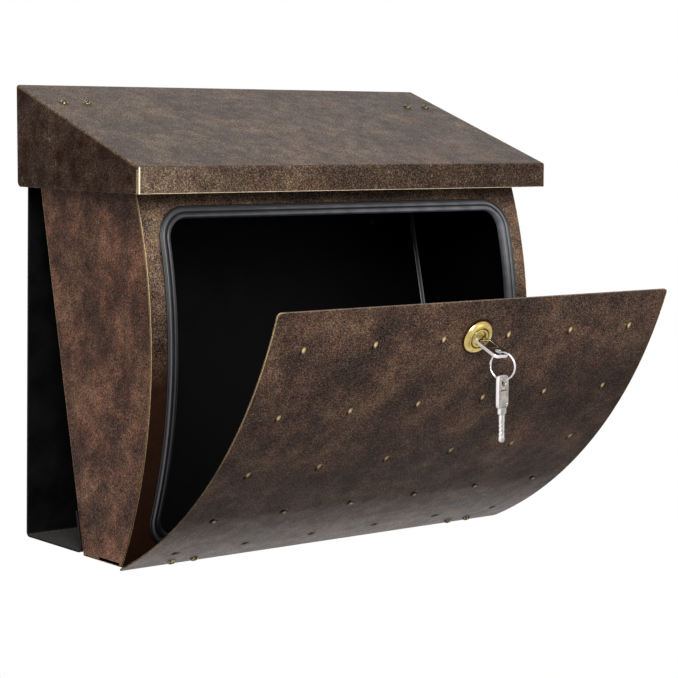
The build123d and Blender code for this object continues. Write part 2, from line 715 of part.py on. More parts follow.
def lock_cam():
    low = -barrel_length - cam_thickness
    high = -barrel_length
    start, run = cam_crank_start, cam_crank_run
    thick = cam_thickness
    diagonal = thick * (sqrt(cam_crank ** 2 + run ** 2) - run) / cam_crank
    outline = [(cam_width / 2, low), (-start - diagonal, low), (-start - run - diagonal, low + cam_crank),
               (-cam_reach, low + cam_crank), (-cam_reach, high + cam_crank),
               (-start - run, high + cam_crank), (-start, high), (cam_width / 2, high)]
    face = make_face(Plane.XZ * Polyline(*outline, close=True))
    arm = extrude(face, amount=cam_width / 2, both=True)
    ends = arm.edges().filter_by(Axis.Z)
    arm = fillet(ends, cam_width / 2 - 0.5)
    arm -= Pos(0, 0, high) * Box(post_side + 2 * hole_fit, post_side + 2 * hole_fit, 4 * thick)
    return swing_open(lock_place() * arm)


def cam_screw():
    place = lock_place() * Pos(0, 0, -barrel_length - cam_thickness) * Rot(180, 0, 0)
    screw = pan_screw(Plane.XY, cam_screw_radius, cam_screw_head_radius, cam_screw_head, cam_screw_length)
    return swing_open(place * screw)


# ---------------------------------------------------------------- keys and ring
def key():
    """Key in its own frame: the collar's foot on z = 0, bow up, blade down, width along x."""
    bow = Pos(0, 0, collar_length + bow_length / 2) * Box(bow_width, bow_thickness, bow_length)
    bow = fillet(bow.edges().filter_by(Axis.Y), bow_corner)
    hole_z = collar_length + bow_length - key_hole_inset
    bow -= Plane(origin=(0, 0, hole_z), z_dir=(0, 1, 0)) * Cylinder(key_hole_radius, 3 * bow_thickness)
    panel = Box(bow_width - 2 * bow_rim, bow_panel_depth, bow_panel)
    panel = fillet(panel.edges().filter_by(Axis.Y), bow_rim / 2)
    panel_z = collar_length + bow_rim + bow_panel / 2
    for face in (-1, 1):
        bow -= Pos(0, face * (bow_thickness - bow_panel_depth) / 2, panel_z) * panel
    collar = Pos(0, 0, collar_length / 2 + 0.5) * Box(collar_width, bow_thickness, collar_length + 1)
    blade = Pos(0, 0, -blade_length / 2 + 0.5) * Box(blade_width, blade_thickness, blade_length + 1)
    tip = blade.edges().filter_by(Axis.Y).group_by(Axis.Z)[0]
    blade = chamfer(tip, blade_width * 0.3)
    solid = bow + collar + blade
    pitch = blade_length / (blade_cuts + 3)
    for i in range(blade_cuts):
        z = -blade_length + (i + 1.6) * pitch
        for edge in (-1, 1):
            notch = Box(2 * blade_cut_depth, 2 * blade_thickness, pitch * 0.55)
            solid -= Pos(edge * blade_width / 2, 0, z) * notch
    return solid


def inserted_key():
    return swing_open(lock_place() * Pos(0, 0, plug_proud) * key())


def key_end():
    """End of the inserted key's bow, with the door open."""
    place = bow_place(0, door_outer + plug_proud + collar_length + bow_length, lock_angle)
    end = place.origin
    spin = radians(open_angle)
    y, z = end.Y - door_pin_y, end.Z - door_pin_z
    return (0, door_pin_y + y * cos(spin) - z * sin(spin), door_pin_z + y * sin(spin) + z * cos(spin))


def ring_place():
    """Middle of the hanging split ring; z is square to its plane."""
    end = key_end()
    turn = radians(ring_turn)
    return Plane(origin=(end[0] + ring_gap_x, end[1] + ring_gap_y, end[2] - ring_drop),
                 x_dir=(-sin(turn), cos(turn), 0), z_dir=(cos(turn), sin(turn), 0))


def key_ring():
    ring = Cylinder(ring_outer, ring_width) - Cylinder(ring_inner, 2 * ring_width)
    groove = Cylinder(ring_outer + 1, 0.12) - Cylinder(ring_outer - 0.3, 0.12)
    return ring_place() * (ring - groove)


def hanging_key():
    """Second key, hanging plumb from the foot of the ring, its width square to the ring's plane."""
    ring = ring_place()
    top = ring.origin.Z - ring_inner + ring_play + key_hole_inset - key_hole_radius
    turn = radians(ring_turn)
    place = Plane(origin=(ring.origin.X, ring.origin.Y, top - bow_length - collar_length),
                  x_dir=(cos(turn), sin(turn), 0), z_dir=(0, 0, 1))
    return place * key()


# ---------------------------------------------------------------- fasteners
def hood_screws():
    grip = sheet + hood_leaf + m3_nut_height + screw_past_nut
    return [pan_screw(place, m3_radius, m3_head_radius, m3_head_height, grip)
            for place in hood_screw_places(0)]


def hood_nuts():
    return [hex_nut(place, m3_nut_flats, m3_radius + hole_fit / 2, -m3_nut_height, m3_nut_height)
            for place in hood_screw_places(sheet + hood_leaf)]


def door_screws():
    grip = sheet + leaf + leaf_gap
    return [swing_open(pan_screw(place, m3_radius, m3_head_radius, m3_head_height, grip))
            for place in door_screw_places(door_outer + leaf_gap)]


def deck_rivets():
    return [dome_rivet(place, rivet_radius, rivet_head_radius, rivet_head, sheet + hood_leaf)
            for place in deck_rivet_places(deck_top_drop - hood_leaf)]


def frame_rivets():
    grip = sheet + leaf + 3 * leaf_gap
    angle = door_pin_angle + frame_rivet_rise / bow_radius
    return [dome_rivet(bow_place(side * door_hinge_x + end * frame_rivet_spacing / 2,
                                 bow_radius + leaf + 2 * leaf_gap, angle),
                       rivet_radius, rivet_head_radius, rivet_head, grip)
            for side in (-1, 1) for end in (-1, 1)]


def body_screws():
    grip = sheet + bracket_sheet + m5_nut_height + screw_past_nut
    return [pan_screw(place * Rot(180, 0, 0), m5_radius, m5_head_radius, m5_head_height, grip)
            for place in body_screw_places(sheet)]


def body_nuts():
    return [hex_nut(place, m5_nut_flats, m5_radius + hole_fit / 2, bracket_sheet, m5_nut_height)
            for place in body_screw_places()]


# ---------------------------------------------------------------- write every piece
write("wall_bracket", wall_bracket())
write("body_back", body_back())
write("body_bottom", body_bottom())
write("front_frame", front_frame())
write("inlet_deck", inlet_deck())
write("door_seal", door_seal())
write("hood", hood())
write("door_panel", door_panel())
for name, side in (("left", -1), ("right", 1)):
    write(f"body_{name}_side", body_side(side))
    hood_pin = hinge_pin(side * hood_hinge_x, hood_hinge_length, hood_pin_y, hood_pin_z)
    write(f"hood_hinge_{name}_hood_leaf", hood_leaf_solid(side))
    write(f"hood_hinge_{name}_deck_leaf", deck_leaf_solid(side))
    write(f"hood_hinge_{name}_pin", hood_pin)
    door_pin = hinge_pin(side * door_hinge_x, door_hinge_length, door_pin_y, door_pin_z)
    write(f"door_hinge_{name}_frame_leaf", frame_leaf_solid(side))
    write(f"door_hinge_{name}_door_leaf", door_leaf_solid(side))
    write(f"door_hinge_{name}_pin", door_pin)
write("lock_housing", lock_housing())
write("lock_nut", lock_nut())
write("lock_plug", lock_plug())
write("lock_cam", lock_cam())
write("cam_screw", cam_screw())
write("inserted_key", inserted_key())
write("key_ring", key_ring())
write("hanging_key", hanging_key())
write("hood_screws", Compound(children=hood_screws()))
write("hood_nuts", Compound(children=hood_nuts()))
write("door_screws", Compound(children=door_screws()))
write("deck_rivets", Compound(children=deck_rivets()))
write("frame_rivets", Compound(children=frame_rivets()))
write("body_screws", Compound(children=body_screws()))
write("body_nuts", Compound(children=body_nuts()))
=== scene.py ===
import json
import math

import bmesh
import bpy
from mathutils import Matrix, Vector


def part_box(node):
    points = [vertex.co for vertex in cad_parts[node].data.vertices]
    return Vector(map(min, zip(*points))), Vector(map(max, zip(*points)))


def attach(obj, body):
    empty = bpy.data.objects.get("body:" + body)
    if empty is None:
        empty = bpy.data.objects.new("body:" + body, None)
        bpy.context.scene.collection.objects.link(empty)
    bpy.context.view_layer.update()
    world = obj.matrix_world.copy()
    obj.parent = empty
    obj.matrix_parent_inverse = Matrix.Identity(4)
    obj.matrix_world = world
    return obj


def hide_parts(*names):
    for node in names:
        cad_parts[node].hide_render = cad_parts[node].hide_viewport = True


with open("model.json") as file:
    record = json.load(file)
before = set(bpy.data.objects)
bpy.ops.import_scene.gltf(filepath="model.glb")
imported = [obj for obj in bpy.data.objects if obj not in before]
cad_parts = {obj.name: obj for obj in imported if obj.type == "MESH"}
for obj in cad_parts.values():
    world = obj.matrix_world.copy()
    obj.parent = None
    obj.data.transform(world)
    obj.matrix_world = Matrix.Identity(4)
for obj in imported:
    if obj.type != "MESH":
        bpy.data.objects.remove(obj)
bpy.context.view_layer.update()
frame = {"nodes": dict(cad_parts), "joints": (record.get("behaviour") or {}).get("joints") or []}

MM = 0.001
nodes = frame["nodes"]


# ---------------------------------------------------------------- wall bracket
# The folded steel plate that stays on the wall, with a ledge for a newspaper and an upturned flange.
# It is 1.5 mm mild steel in black polyester powder coat, sprayed and baked: matt, with a fine orange
# peel, thin and paler along its cut edges, and dusty where the ledge faces up.
def to_linear(code):
    """Linear colour of an sRGB hex code."""
    values = [int(code[i:i + 2], 16) / 255 for i in (1, 3, 5)]
    return [v / 12.92 if v <= 0.04045 else ((v + 0.055) / 1.055) ** 2.4 for v in values] + [1.0]


def add(tree, kind, inputs=None, **settings):
    """One node with its settings. An input is a value, a hex colour, a socket, or a node, which stands
    for its first output in use. A socket that takes several things has them in a list."""
    node = tree.nodes.new(kind)
    for name, value in settings.items():
        setattr(node, name, value)
    for name, given in (inputs or {}).items():
        socket = node.inputs[name]
        for value in given if socket.is_multi_input else [given]:
            if isinstance(value, bpy.types.Node):
                value = next(output for output in value.outputs if output.enabled)
            if isinstance(value, bpy.types.NodeSocket):
                tree.links.new(value, socket)
            else:
                hex_colour = isinstance(value, str) and value.startswith("#")
                socket.default_value = to_linear(value) if hex_colour else value
    return node


def new_material(name):
    material = bpy.data.materials.new(name)
    material.use_nodes = True
    material.node_tree.nodes.clear()
    return material, material.node_tree


def per_metre(size_mm):
    """Scale of a noise whose features are about this size."""
    return 1000 / size_mm


def mottle(tree, size_mm, detail=3.0, roughness=0.55):
    """Noise on the object's own coordinates, spread so that it fills 0 to 1."""
    place = add(tree, "ShaderNodeTexCoord").outputs["Object"]
    field = add(tree, "ShaderNodeTexNoise", {"Vector": place, "Scale": per_metre(size_mm), "Detail": detail,
                                             "Roughness": roughness})
    return add(tree, "ShaderNodeMapRange", {"Value": field.outputs["Fac"], "From Min": 0.3, "From Max": 0.7})


def edge_wear(tree, reach):
    """0 on flat metal and up to 1 on a cut or folded edge, from the normal of a rounded edge."""
    rounded = add(tree, "ShaderNodeBevel", {"Radius": reach}, samples=6).outputs["Normal"]
    flat = add(tree, "ShaderNodeNewGeometry").outputs["Normal"]
    same = add(tree, "ShaderNodeVectorMath", {0: rounded, 1: flat}, operation="DOT_PRODUCT")
    return add(tree, "ShaderNodeMapRange", {"Value": same, "From Min": 0.99, "From Max": 0.90})


def finish_surface(tree, **inputs):
    """The Principled shader, with inputs named in Python's way, and the material's output."""
    named = {key.replace("_", " "): value for key, value in inputs.items()}
    shader = add(tree, "ShaderNodeBsdfPrincipled", named)
    add(tree, "ShaderNodeOutputMaterial", {"Surface": shader})


def coat(material, *names):
    """Gives a CAD node its finish."""
    for name in names:
        nodes[name].data.materials.clear()
        nodes[name].data.materials.append(material)


def black_powder_coat(name, ground, worn, dust, wear_reach):
    """Matt black baked powder: orange peel of about 1 mm, thin edges, dust on faces that look up."""
    material, tree = new_material(name)
    peel = mottle(tree, 1.1, 2.0)
    cloud = mottle(tree, 22.0)
    faint = add(tree, "ShaderNodeMath", {0: cloud, 1: 0.08}, operation="MULTIPLY")
    colour = add(tree, "ShaderNodeMix", {"Factor": faint, "A": ground, "B": worn}, data_type="RGBA")
    up = add(tree, "ShaderNodeSeparateXYZ", {0: add(tree, "ShaderNodeNewGeometry").outputs["Normal"]})
    facing_up = add(tree, "ShaderNodeMapRange", {"Value": up.outputs["Z"], "From Min": 0.6,
                                                 "From Max": 0.95})
    settled = add(tree, "ShaderNodeMath", {0: facing_up, 1: mottle(tree, 1.6, 3.0, 0.7)},
                  operation="MULTIPLY")
    colour = add(tree, "ShaderNodeMix", {"Factor": settled, "A": colour, "B": dust}, data_type="RGBA")
    broken = add(tree, "ShaderNodeMath", {0: peel, 1: 0.3}, operation="ADD")
    edge = add(tree, "ShaderNodeMath", {0: edge_wear(tree, wear_reach), 1: broken}, operation="MULTIPLY")
    colour = add(tree, "ShaderNodeMix", {"Factor": edge, "A": colour, "B": worn}, data_type="RGBA")
    bump = add(tree, "ShaderNodeBump", {"Height": peel, "Distance": 0.1 * MM, "Strength": 0.5})
    rough = add(tree, "ShaderNodeMapRange", {"Value": cloud, "To Min": 0.5, "To Max": 0.64})
    finish_surface(tree, Base_Color=colour, Roughness=rough, Specular_IOR_Level=0.06, Normal=bump)
    return material


bracket_coat = black_powder_coat("black_polyester_powder_coat", "#050506", "#3A3A3D", "#5C5956", 0.7 * MM)
coat(bracket_coat, "wall_bracket")


# ---------------------------------------------------------------- body
# A welded box of 1.2 mm steel: two sides, a leaning back, a tray bottom, the inlet deck and a bowed
# front. All of it has a black base powder. The faces that show outside also have a bronze vein
# powder on top, which flows into dark and copper patches and is brushed off along the edges.
sheet = 1.2 * MM
bow_radius = 344.8 * MM
bow_level = -19.3 * MM
frame_low, frame_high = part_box("front_frame")
half_body = frame_high.x
bow_centre = Vector((0, frame_low.y + bow_radius, bow_level))


def from_axis(tree, centre):
    """Distance of the surface from an axis along X, in metres."""
    place = add(tree, "ShaderNodeTexCoord").outputs["Object"]
    flat = add(tree, "ShaderNodeVectorMath", {0: place, 1: (0, 1, 1)}, operation="MULTIPLY")
    return add(tree, "ShaderNodeVectorMath", {0: flat, 1: (0, centre.y, centre.z)}, operation="DISTANCE")


def along(tree, axis):
    """Signed distance of the surface along an axis, in metres."""
    place = add(tree, "ShaderNodeTexCoord").outputs["Object"]
    return add(tree, "ShaderNodeVectorMath", {0: place, 1: axis}, operation="DOT_PRODUCT")


def bronze_vein_coat(name, skin, tones, edge="#F2DDB0", reach=0.9 * MM, sheen=0.07, flecks=0.14,
                     clouds=0.37, spots=None, hollows=None, shade=None, wear=None):
    """Two baked powders. skin gives the node that is 1 where the bronze powder went, spots where it is
    rubbed through or where a highlight is painted on, hollows where shade is painted into it, shade
    where shade is painted over it, and wear how much its edges are rubbed. tones go from dark to gold,
    with pale flecks among them, in clouds and grain. Level faces have all of the sheen, and painted
    shade takes the sheen and the metal away, and shade the pale flecks too."""
    material, tree = new_material(name)
    cloud = mottle(tree, 38.0, 2.0, 0.5)
    patch = mottle(tree, 11.0, 3.0, 0.6)
    # the real flakes are about 0.2 mm; they are drawn at about 1 mm, which is as fine as shows
    grain = mottle(tree, 1.05, 2.0, 0.85)
    level = add(tree, "ShaderNodeMath", {0: cloud, 1: 0.6 * clouds}, operation="MULTIPLY")
    level = add(tree, "ShaderNodeMath", {0: patch, 1: 0.4 * clouds, 2: level}, operation="MULTIPLY_ADD")
    level = add(tree, "ShaderNodeMath", {0: grain, 1: 1 - clouds, 2: level}, operation="MULTIPLY_ADD")
    ramp = add(tree, "ShaderNodeValToRGB", {"Fac": level})
    stops = ramp.color_ramp.elements
    stops[0].position, stops[0].color = 0.24, to_linear(tones[0])
    stops[1].position, stops[1].color = 0.86, to_linear(tones[3])
    for position, code in ((0.46, tones[1]), (0.66, tones[2])):
        stops.new(position).color = to_linear(code)
    hue = mottle(tree, 24.0, 3.0, 0.6)
    cast = add(tree, "ShaderNodeMix", {"Factor": hue, "A": "#FFECE6", "B": "#F8FCEE"}, data_type="RGBA")
    colour = add(tree, "ShaderNodeMix", {"Factor": 1.0, "A": ramp, "B": cast}, data_type="RGBA",
                 blend_type="MULTIPLY")
    fleck = mottle(tree, 1.0, 1.0, 0.5)
    fleck = add(tree, "ShaderNodeMapRange", {"Value": fleck, "From Min": 0.55, "From Max": 0.95,
                                             "To Max": flecks})
    bare = skin(tree)
    if shade:
        # painted shade: the colour goes towards dark brown, and the metal, sheen and pale flecks go with it
        shaded = shade(tree)
        colour = add(tree, "ShaderNodeMix", {"Factor": shaded, "A": colour, "B": "#27150D"}, data_type="RGBA")
        thin = add(tree, "ShaderNodeMath", {0: 1.0, 1: shaded}, operation="SUBTRACT")
        bare = add(tree, "ShaderNodeMath", {0: bare, 1: thin}, operation="MULTIPLY")
        fleck = add(tree, "ShaderNodeMath", {0: fleck, 1: bare}, operation="MULTIPLY")
    colour = add(tree, "ShaderNodeMix", {"Factor": fleck, "A": colour, "B": "#AFA8A4"}, data_type="RGBA")
    broken = add(tree, "ShaderNodeMath", {0: grain, 1: 0.6}, operation="ADD")
    worn = add(tree, "ShaderNodeMath", {0: edge_wear(tree, reach), 1: broken}, operation="MULTIPLY")
    if wear:
        worn = add(tree, "ShaderNodeMath", {0: worn, 1: wear(tree)}, operation="MULTIPLY")
    # spots may be rubbed places or painted highlights; both go towards the edge colour
    if spots:
        worn = add(tree, "ShaderNodeMath", {0: worn, 1: spots(tree)}, operation="MAXIMUM")
    colour = add(tree, "ShaderNodeMix", {"Factor": worn, "A": colour, "B": edge}, data_type="RGBA")
    if hollows:
        # painted shade in the hollows: mixed towards near black, without metal or sheen
        hollow = hollows(tree)
        colour = add(tree, "ShaderNodeMix", {"Factor": hollow, "A": colour, "B": "#120B08"},
                     data_type="RGBA")
        raised = add(tree, "ShaderNodeMath", {0: 1.0, 1: hollow}, operation="SUBTRACT")
        bare = add(tree, "ShaderNodeMath", {0: bare, 1: raised}, operation="MULTIPLY")
    colour = add(tree, "ShaderNodeMix", {"Factor": skin(tree), "A": "#050505", "B": colour},
                 data_type="RGBA")
    bump = add(tree, "ShaderNodeBump", {"Height": grain, "Distance": 0.12 * MM, "Strength": 0.45})
    metal = add(tree, "ShaderNodeMath", {0: bare, 1: 0.3}, operation="MULTIPLY")
    rough = add(tree, "ShaderNodeMapRange", {"Value": patch, "To Min": 0.52, "To Max": 0.42})
    up = add(tree, "ShaderNodeSeparateXYZ", {0: add(tree, "ShaderNodeNewGeometry").outputs["Normal"]})
    level_face = add(tree, "ShaderNodeMath", {0: up.outputs["Z"]}, operation="ABSOLUTE")
    gloss = add(tree, "ShaderNodeMapRange", {"Value": level_face, "From Min": 0.78, "From Max": 0.9,
                                             "To Min": 0.03, "To Max": sheen})
    gloss = add(tree, "ShaderNodeMath", {0: gloss, 1: bare}, operation="MULTIPLY")
    finish_surface(tree, Base_Color=colour, Metallic=metal, Roughness=rough, Specular_IOR_Level=gloss,
                   Normal=bump)
    return material


def side_skin(tree):
    across = add(tree, "ShaderNodeMath", {0: along(tree, (1, 0, 0))}, operation="ABSOLUTE")
    return add(tree, "ShaderNodeMath", {0: across, 1: half_body - sheet / 2}, operation="GREATER_THAN")


def front_skin(tree):
    return add(tree, "ShaderNodeMath", {0: from_axis(tree, bow_centre), 1: bow_radius - sheet / 2},
               operation="GREATER_THAN")


def bottom_skin(tree):
    skin = -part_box("body_bottom")[0].z - sheet / 2
    return add(tree, "ShaderNodeMath", {0: along(tree, (0, 0, -1)), 1: skin}, operation="GREATER_THAN")


def upper_wear(tree):
    """The upper edges are handled, and the lower ones less."""
    return add(tree, "ShaderNodeMapRange", {"Value": along(tree, (0, 0, 1)), "From Min": -130 * MM,
                                            "From Max": 30 * MM, "To Min": 0.3})


def side_painted_shade(tree):
    """Painted shade: the sides are a little darker above and lighter towards the foot."""
    return add(tree, "ShaderNodeMapRange", {"Value": along(tree, (0, 0, 1)), "From Min": -120 * MM,
                                            "From Max": 0.0, "To Max": 0.18})


def front_painted_shadow(tree):
    """Painted shadow: the front darkens towards its foot, where the open door shades it."""
    return add(tree, "ShaderNodeMapRange", {"Value": along(tree, (0, 0, -1)), "From Min": -30 * MM,
                                            "From Max": 40 * MM, "To Max": 0.97})


side_tones = ("#19120F", "#49332A", "#805B4A", "#BA9379")
front_tones = ("#1C1411", "#46362D", "#7C6553", "#BEA080")
side_coat = bronze_vein_coat("bronze_vein_coat_on_sides", side_skin, side_tones, edge="#F2CE92",
                             reach=0.6 * MM, clouds=0.44, shade=side_painted_shade, wear=upper_wear)
bottom_coat = bronze_vein_coat("bronze_vein_coat_on_tray", bottom_skin, side_tones)
front_coat = bronze_vein_coat("bronze_vein_coat_on_front", front_skin, front_tones, edge="#FFDCA2",
                              flecks=0.32, shade=front_painted_shadow, wear=upper_wear)
inner_coat = black_powder_coat("black_base_powder_coat", "#050506", "#1A1A1C", "#101011", 0.5 * MM)
coat(side_coat, "body_left_side", "body_right_side")
coat(front_coat, "front_frame")
coat(bottom_coat, "body_bottom")
coat(inner_coat, "body_back", "inlet_deck")


# ---------------------------------------------------------------- seam sealer in the back corners
# A pale grey bead runs down both back corners inside the welded box: a small hollow fillet, wider on
# the back than on the side. Its pale grey is a painted highlight that stands for the glint in the
# corner's rounded fold; it is painted dark in the corner itself and darker towards the top as painted shade.
def new_piece(name, mesh, material, body, slot, *stands_for):
    """A finished piece from a bmesh: smooth, with its finish, riding on its body."""
    bmesh.ops.recalc_face_normals(mesh, faces=mesh.faces)
    data = bpy.data.meshes.new(name)
    mesh.to_mesh(data)
    mesh.free()
    return place_piece(name, data, material, body, slot, *stands_for)


def place_piece(name, data, material, body, slot, *stands_for):
    """Puts a finished mesh on its body, in place of the CAD nodes that it stands for."""
    data.materials.clear()
    data.materials.append(material)
    piece = bpy.data.objects.new(name, data)
    bpy.context.scene.collection.objects.link(piece)
    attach(piece, body)
    if stands_for:
        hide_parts(*stands_for)
    return piece


def skin_over(mesh, rings, closed_way=False):
    """Quads between rings of points. The rings are closed; the way along them may be too."""
    rows = [[mesh.verts.new(point) for point in ring] for ring in rings]
    count = len(rows[0])
    steps = len(rows) if closed_way else len(rows) - 1
    for i in range(steps):
        this, after = rows[i], rows[(i + 1) % len(rows)]
        for k in range(count):
            mesh.faces.new((this[k], this[(k + 1) % count], after[(k + 1) % count], after[k]))
    if not closed_way:
        mesh.faces.new(reversed(rows[0]))
        mesh.faces.new(rows[-1])
    for face in mesh.faces:
        face.smooth = True
    return rows


corner_bead_coat, tree = new_material("pale_grey_bead_with_painted_glint")
ripple = mottle(tree, 3.0)
bump = add(tree, "ShaderNodeBump", {"Height": ripple, "Distance": 0.2 * MM, "Strength": 0.4})
# painted highlight: the pale grey; painted shade: dark in the corner itself and darker towards the top
into_corner = add(tree, "ShaderNodeMath", {0: along(tree, (1, 0, 0))}, operation="ABSOLUTE")
rim = add(tree, "ShaderNodeMapRange", {"Value": into_corner, "From Min": half_body - 3.6 * MM,
                                       "From Max": half_body - 4.4 * MM, "To Min": 0.12})
painted_shade_above = add(tree, "ShaderNodeMapRange", {"Value": along(tree, (0, 0, 1)), "From Min": 30 * MM,
                                          "From Max": 85 * MM})
painted_highlight = add(tree, "ShaderNodeMix", {"Factor": ripple, "A": "#B9BABE", "B": "#DCDDE0"}, data_type="RGBA")
colour = add(tree, "ShaderNodeMix", {"Factor": painted_shade_above, "A": painted_highlight, "B": "#5A5A5E"}, data_type="RGBA")
colour = add(tree, "ShaderNodeMix", {"Factor": rim, "A": "#141415", "B": colour}, data_type="RGBA")
finish_surface(tree, Base_Color=colour, Roughness=0.38, Normal=bump)
bead_on_back, bead_on_side = 5.0 * MM, 1.2 * MM
back_low, back_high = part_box("body_back")
seam_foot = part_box("body_bottom")[0].z + 2 * sheet
seam_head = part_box("inlet_deck")[0].z - 2 * sheet
back_lean = math.radians(13.1)
lean_foot = Vector((0, back_low.y, back_low.z))
bead_steps, round_steps = 24, 6
for name, side in (("left", -1), ("right", 1)):
    corner_x = side * (half_body - sheet)
    rings = []
    for step in range(bead_steps + 1):
        z = seam_foot + (seam_head - seam_foot) * step / bead_steps
        corner_y = min(lean_foot.y + (z - lean_foot.z) * math.tan(back_lean), back_high.y - sheet)
        ring = [Vector((corner_x, corner_y, z))]
        for k in range(round_steps + 1):
            turn = math.pi / 2 * k / round_steps
            ring.append(Vector((corner_x - side * bead_on_back * (1 - math.sin(turn)),
                                corner_y - bead_on_side * (1 - math.cos(turn)), z)))
        rings.append(ring)
    mesh = bmesh.new()
    skin_over(mesh, rings)
    new_piece(f"corner_glint_bead_{name}", mesh, corner_bead_coat, "body", "seal_rubber")


# ---------------------------------------------------------------- edge seal round the opening
# A grey EPDM rubber profile pushed over the edge of the opening: three rounded ridges with grooves
# between them on the outside, a web round the sheet's edge and a lip that grips behind it. It was
# extruded, so faint lines run along it. Its outer ridge is painted dark as the shadow of the gap beside
# the frame, its lower part is painted dark as shade with a painted highlight along the middle ridge's
# outer flank, and ambient occlusion paints shade into the grooves.
seal_corner = 24.0 * MM
seal_low, seal_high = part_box("door_seal")
ridges = ((-0.15, 0.75, 2.3), (2.5, 1.3, 2.9), (6.3, 1.7, 3.0))      # middle, half width, top in mm


def ridge_arc(middle, half, top):
    """Round top of a ridge, as (across, high) points in mm."""
    turns = [math.radians(20 * k) for k in range(1, 9)]
    return [(middle - half * math.cos(turn), top - half + half * math.sin(turn)) for turn in turns]


# the section starts at the outer edge on the sheet, crosses the three ridges and returns behind it
outline = [(0.1, 0.12), (0.0, 0.6), (-0.8, 1.0)] + ridge_arc(*ridges[0]) + [(0.9, 0.9)]
outline += ridge_arc(*ridges[1]) + [(4.0, 0.8), (4.4, 0.8)] + ridge_arc(*ridges[2])
outline += [(8.5, 0.9), (8.8, 0.2), (8.8, -2.6), (8.4, -3.25), (2.9, -3.25), (2.5, -2.4), (2.9, -1.35),
            (8.0, -1.35), (8.0, 0.12)]
outline = [(across * MM, high * MM) for across, high in outline]


def seal_stations(steps=12):
    """Way round the seal's corners, seen from the front: middle of the corner and angle outwards."""
    half, low, high, r = seal_high.x, seal_low.z, seal_high.z, seal_corner
    corners = ((half - r, high - r, 0), (r - half, high - r, 90), (r - half, low + r, 180),
               (half - r, low + r, 270))
    return [(cx, cz, math.radians(start + 90 * k / steps)) for cx, cz, start in corners
            for k in range(steps + 1)]


rings = []
spots = seal_stations()
steps_on_straights = 24
for i, (cx, cz, turn) in enumerate(spots):
    after = spots[(i + 1) % len(spots)]
    straight = steps_on_straights if (cx, cz) != after[:2] else 1
    for k in range(straight):
        x = cx + (after[0] - cx) * k / straight
        z = cz + (after[1] - cz) * k / straight
        ring = []
        for across, high in outline:
            px = x + (seal_corner - across) * math.cos(turn)
            pz = z + (seal_corner - across) * math.sin(turn)
            r = bow_radius + high
            ring.append(Vector((px, bow_centre.y - math.sqrt(r * r - (pz - bow_level) ** 2), pz)))
        rings.append(ring)
mesh = bmesh.new()
# the attribute is 0 on the outer ridge, 1 on the outer flank of the middle one, and 2 from there on
inward = mesh.verts.layers.float.new("inward")
outer_ridge_end, flank_end = 11, 15
for row in skin_over(mesh, rings, closed_way=True):
    for k, corner in enumerate(row):
        corner[inward] = 0.0 if k < outer_ridge_end else 1.0 if k < flank_end else 2.0
rubber, tree = new_material("grey_epdm_rubber_extruded")
line = mottle(tree, 0.9, 2.0)
cloud = mottle(tree, 12.0)
bump = add(tree, "ShaderNodeBump", {"Height": line, "Distance": 0.08 * MM, "Strength": 0.35})
rough = add(tree, "ShaderNodeMapRange", {"Value": cloud, "To Min": 0.36, "To Max": 0.5})
height = add(tree, "ShaderNodeMapRange", {"Value": along(tree, (0.25, 0, 1)), "From Min": 30 * MM,
                                          "From Max": 150 * MM})
inward = add(tree, "ShaderNodeAttribute", attribute_name="inward").outputs["Fac"]
on_flank = add(tree, "ShaderNodeMath", {0: inward, 1: 1.0}, operation="PINGPONG")
bloom = add(tree, "ShaderNodeMix", {"Factor": cloud, "A": "#68696E", "B": "#94959A"}, data_type="RGBA")
# painted shadow: the outer ridge is dark for the gap's shadow; painted shade: the lower part is dark, with a
# painted highlight on the middle ridge's outer flank
upper_with_painted_gap_shadow = add(tree, "ShaderNodeMix", {"Factor": inward, "A": "#1C1C1F", "B": bloom}, data_type="RGBA")
painted_shade_low = add(tree, "ShaderNodeMix", {"Factor": on_flank, "A": "#131315", "B": "#4C4C50"}, data_type="RGBA")
colour = add(tree, "ShaderNodeMix", {"Factor": height, "A": painted_shade_low, "B": upper_with_painted_gap_shadow}, data_type="RGBA")
groove = add(tree, "ShaderNodeAmbientOcclusion", {"Distance": 2.0 * MM}, samples=8)
shadow = add(tree, "ShaderNodeMapRange", {"Value": groove.outputs["AO"], "From Min": 0.8, "From Max": 0.4})
colour = add(tree, "ShaderNodeMix", {"Factor": shadow, "A": colour, "B": "#0B0B0C"}, data_type="RGBA")
finish_surface(tree, Base_Color=colour, Roughness=rough, Specular_IOR_Level=0.5, Normal=bump)
new_piece("edge_seal", mesh, rubber, "body", "seal_rubber", "door_seal")


# ---------------------------------------------------------------- hood
# The sloping lid, one blank of 1.2 mm steel folded down into two skirts and a front lip, with open
# corner seams. Bronze vein powder outside and black base powder under it, like the body.
hood_low, hood_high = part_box("hood")
lip_rise = 19.3 * MM
hood_slope = math.atan2(hood_high.z - hood_low.z - lip_rise, hood_high.y - hood_low.y)
slope_up = Vector((0, -math.sin(hood_slope), math.cos(hood_slope)))
hood_crest = Vector((0, hood_high.y, hood_high.z))


def on_lip(tree):
    """1 on the outer face of the lip."""
    return add(tree, "ShaderNodeMath", {0: along(tree, (0, -1, 0)), 1: -hood_low.y - sheet / 2},
               operation="GREATER_THAN")


def hood_skin(tree):
    above = add(tree, "ShaderNodeMath", {0: along(tree, slope_up), 1: hood_crest.dot(slope_up) - sheet / 2},
                operation="GREATER_THAN")
    across = add(tree, "ShaderNodeMath", {0: along(tree, (1, 0, 0))}, operation="ABSOLUTE")
    aside = add(tree, "ShaderNodeMath", {0: across, 1: hood_high.x - sheet / 2}, operation="GREATER_THAN")
    folded = add(tree, "ShaderNodeMath", {0: on_lip(tree), 1: aside}, operation="MAXIMUM")
    return add(tree, "ShaderNodeMath", {0: above, 1: folded}, operation="MAXIMUM")


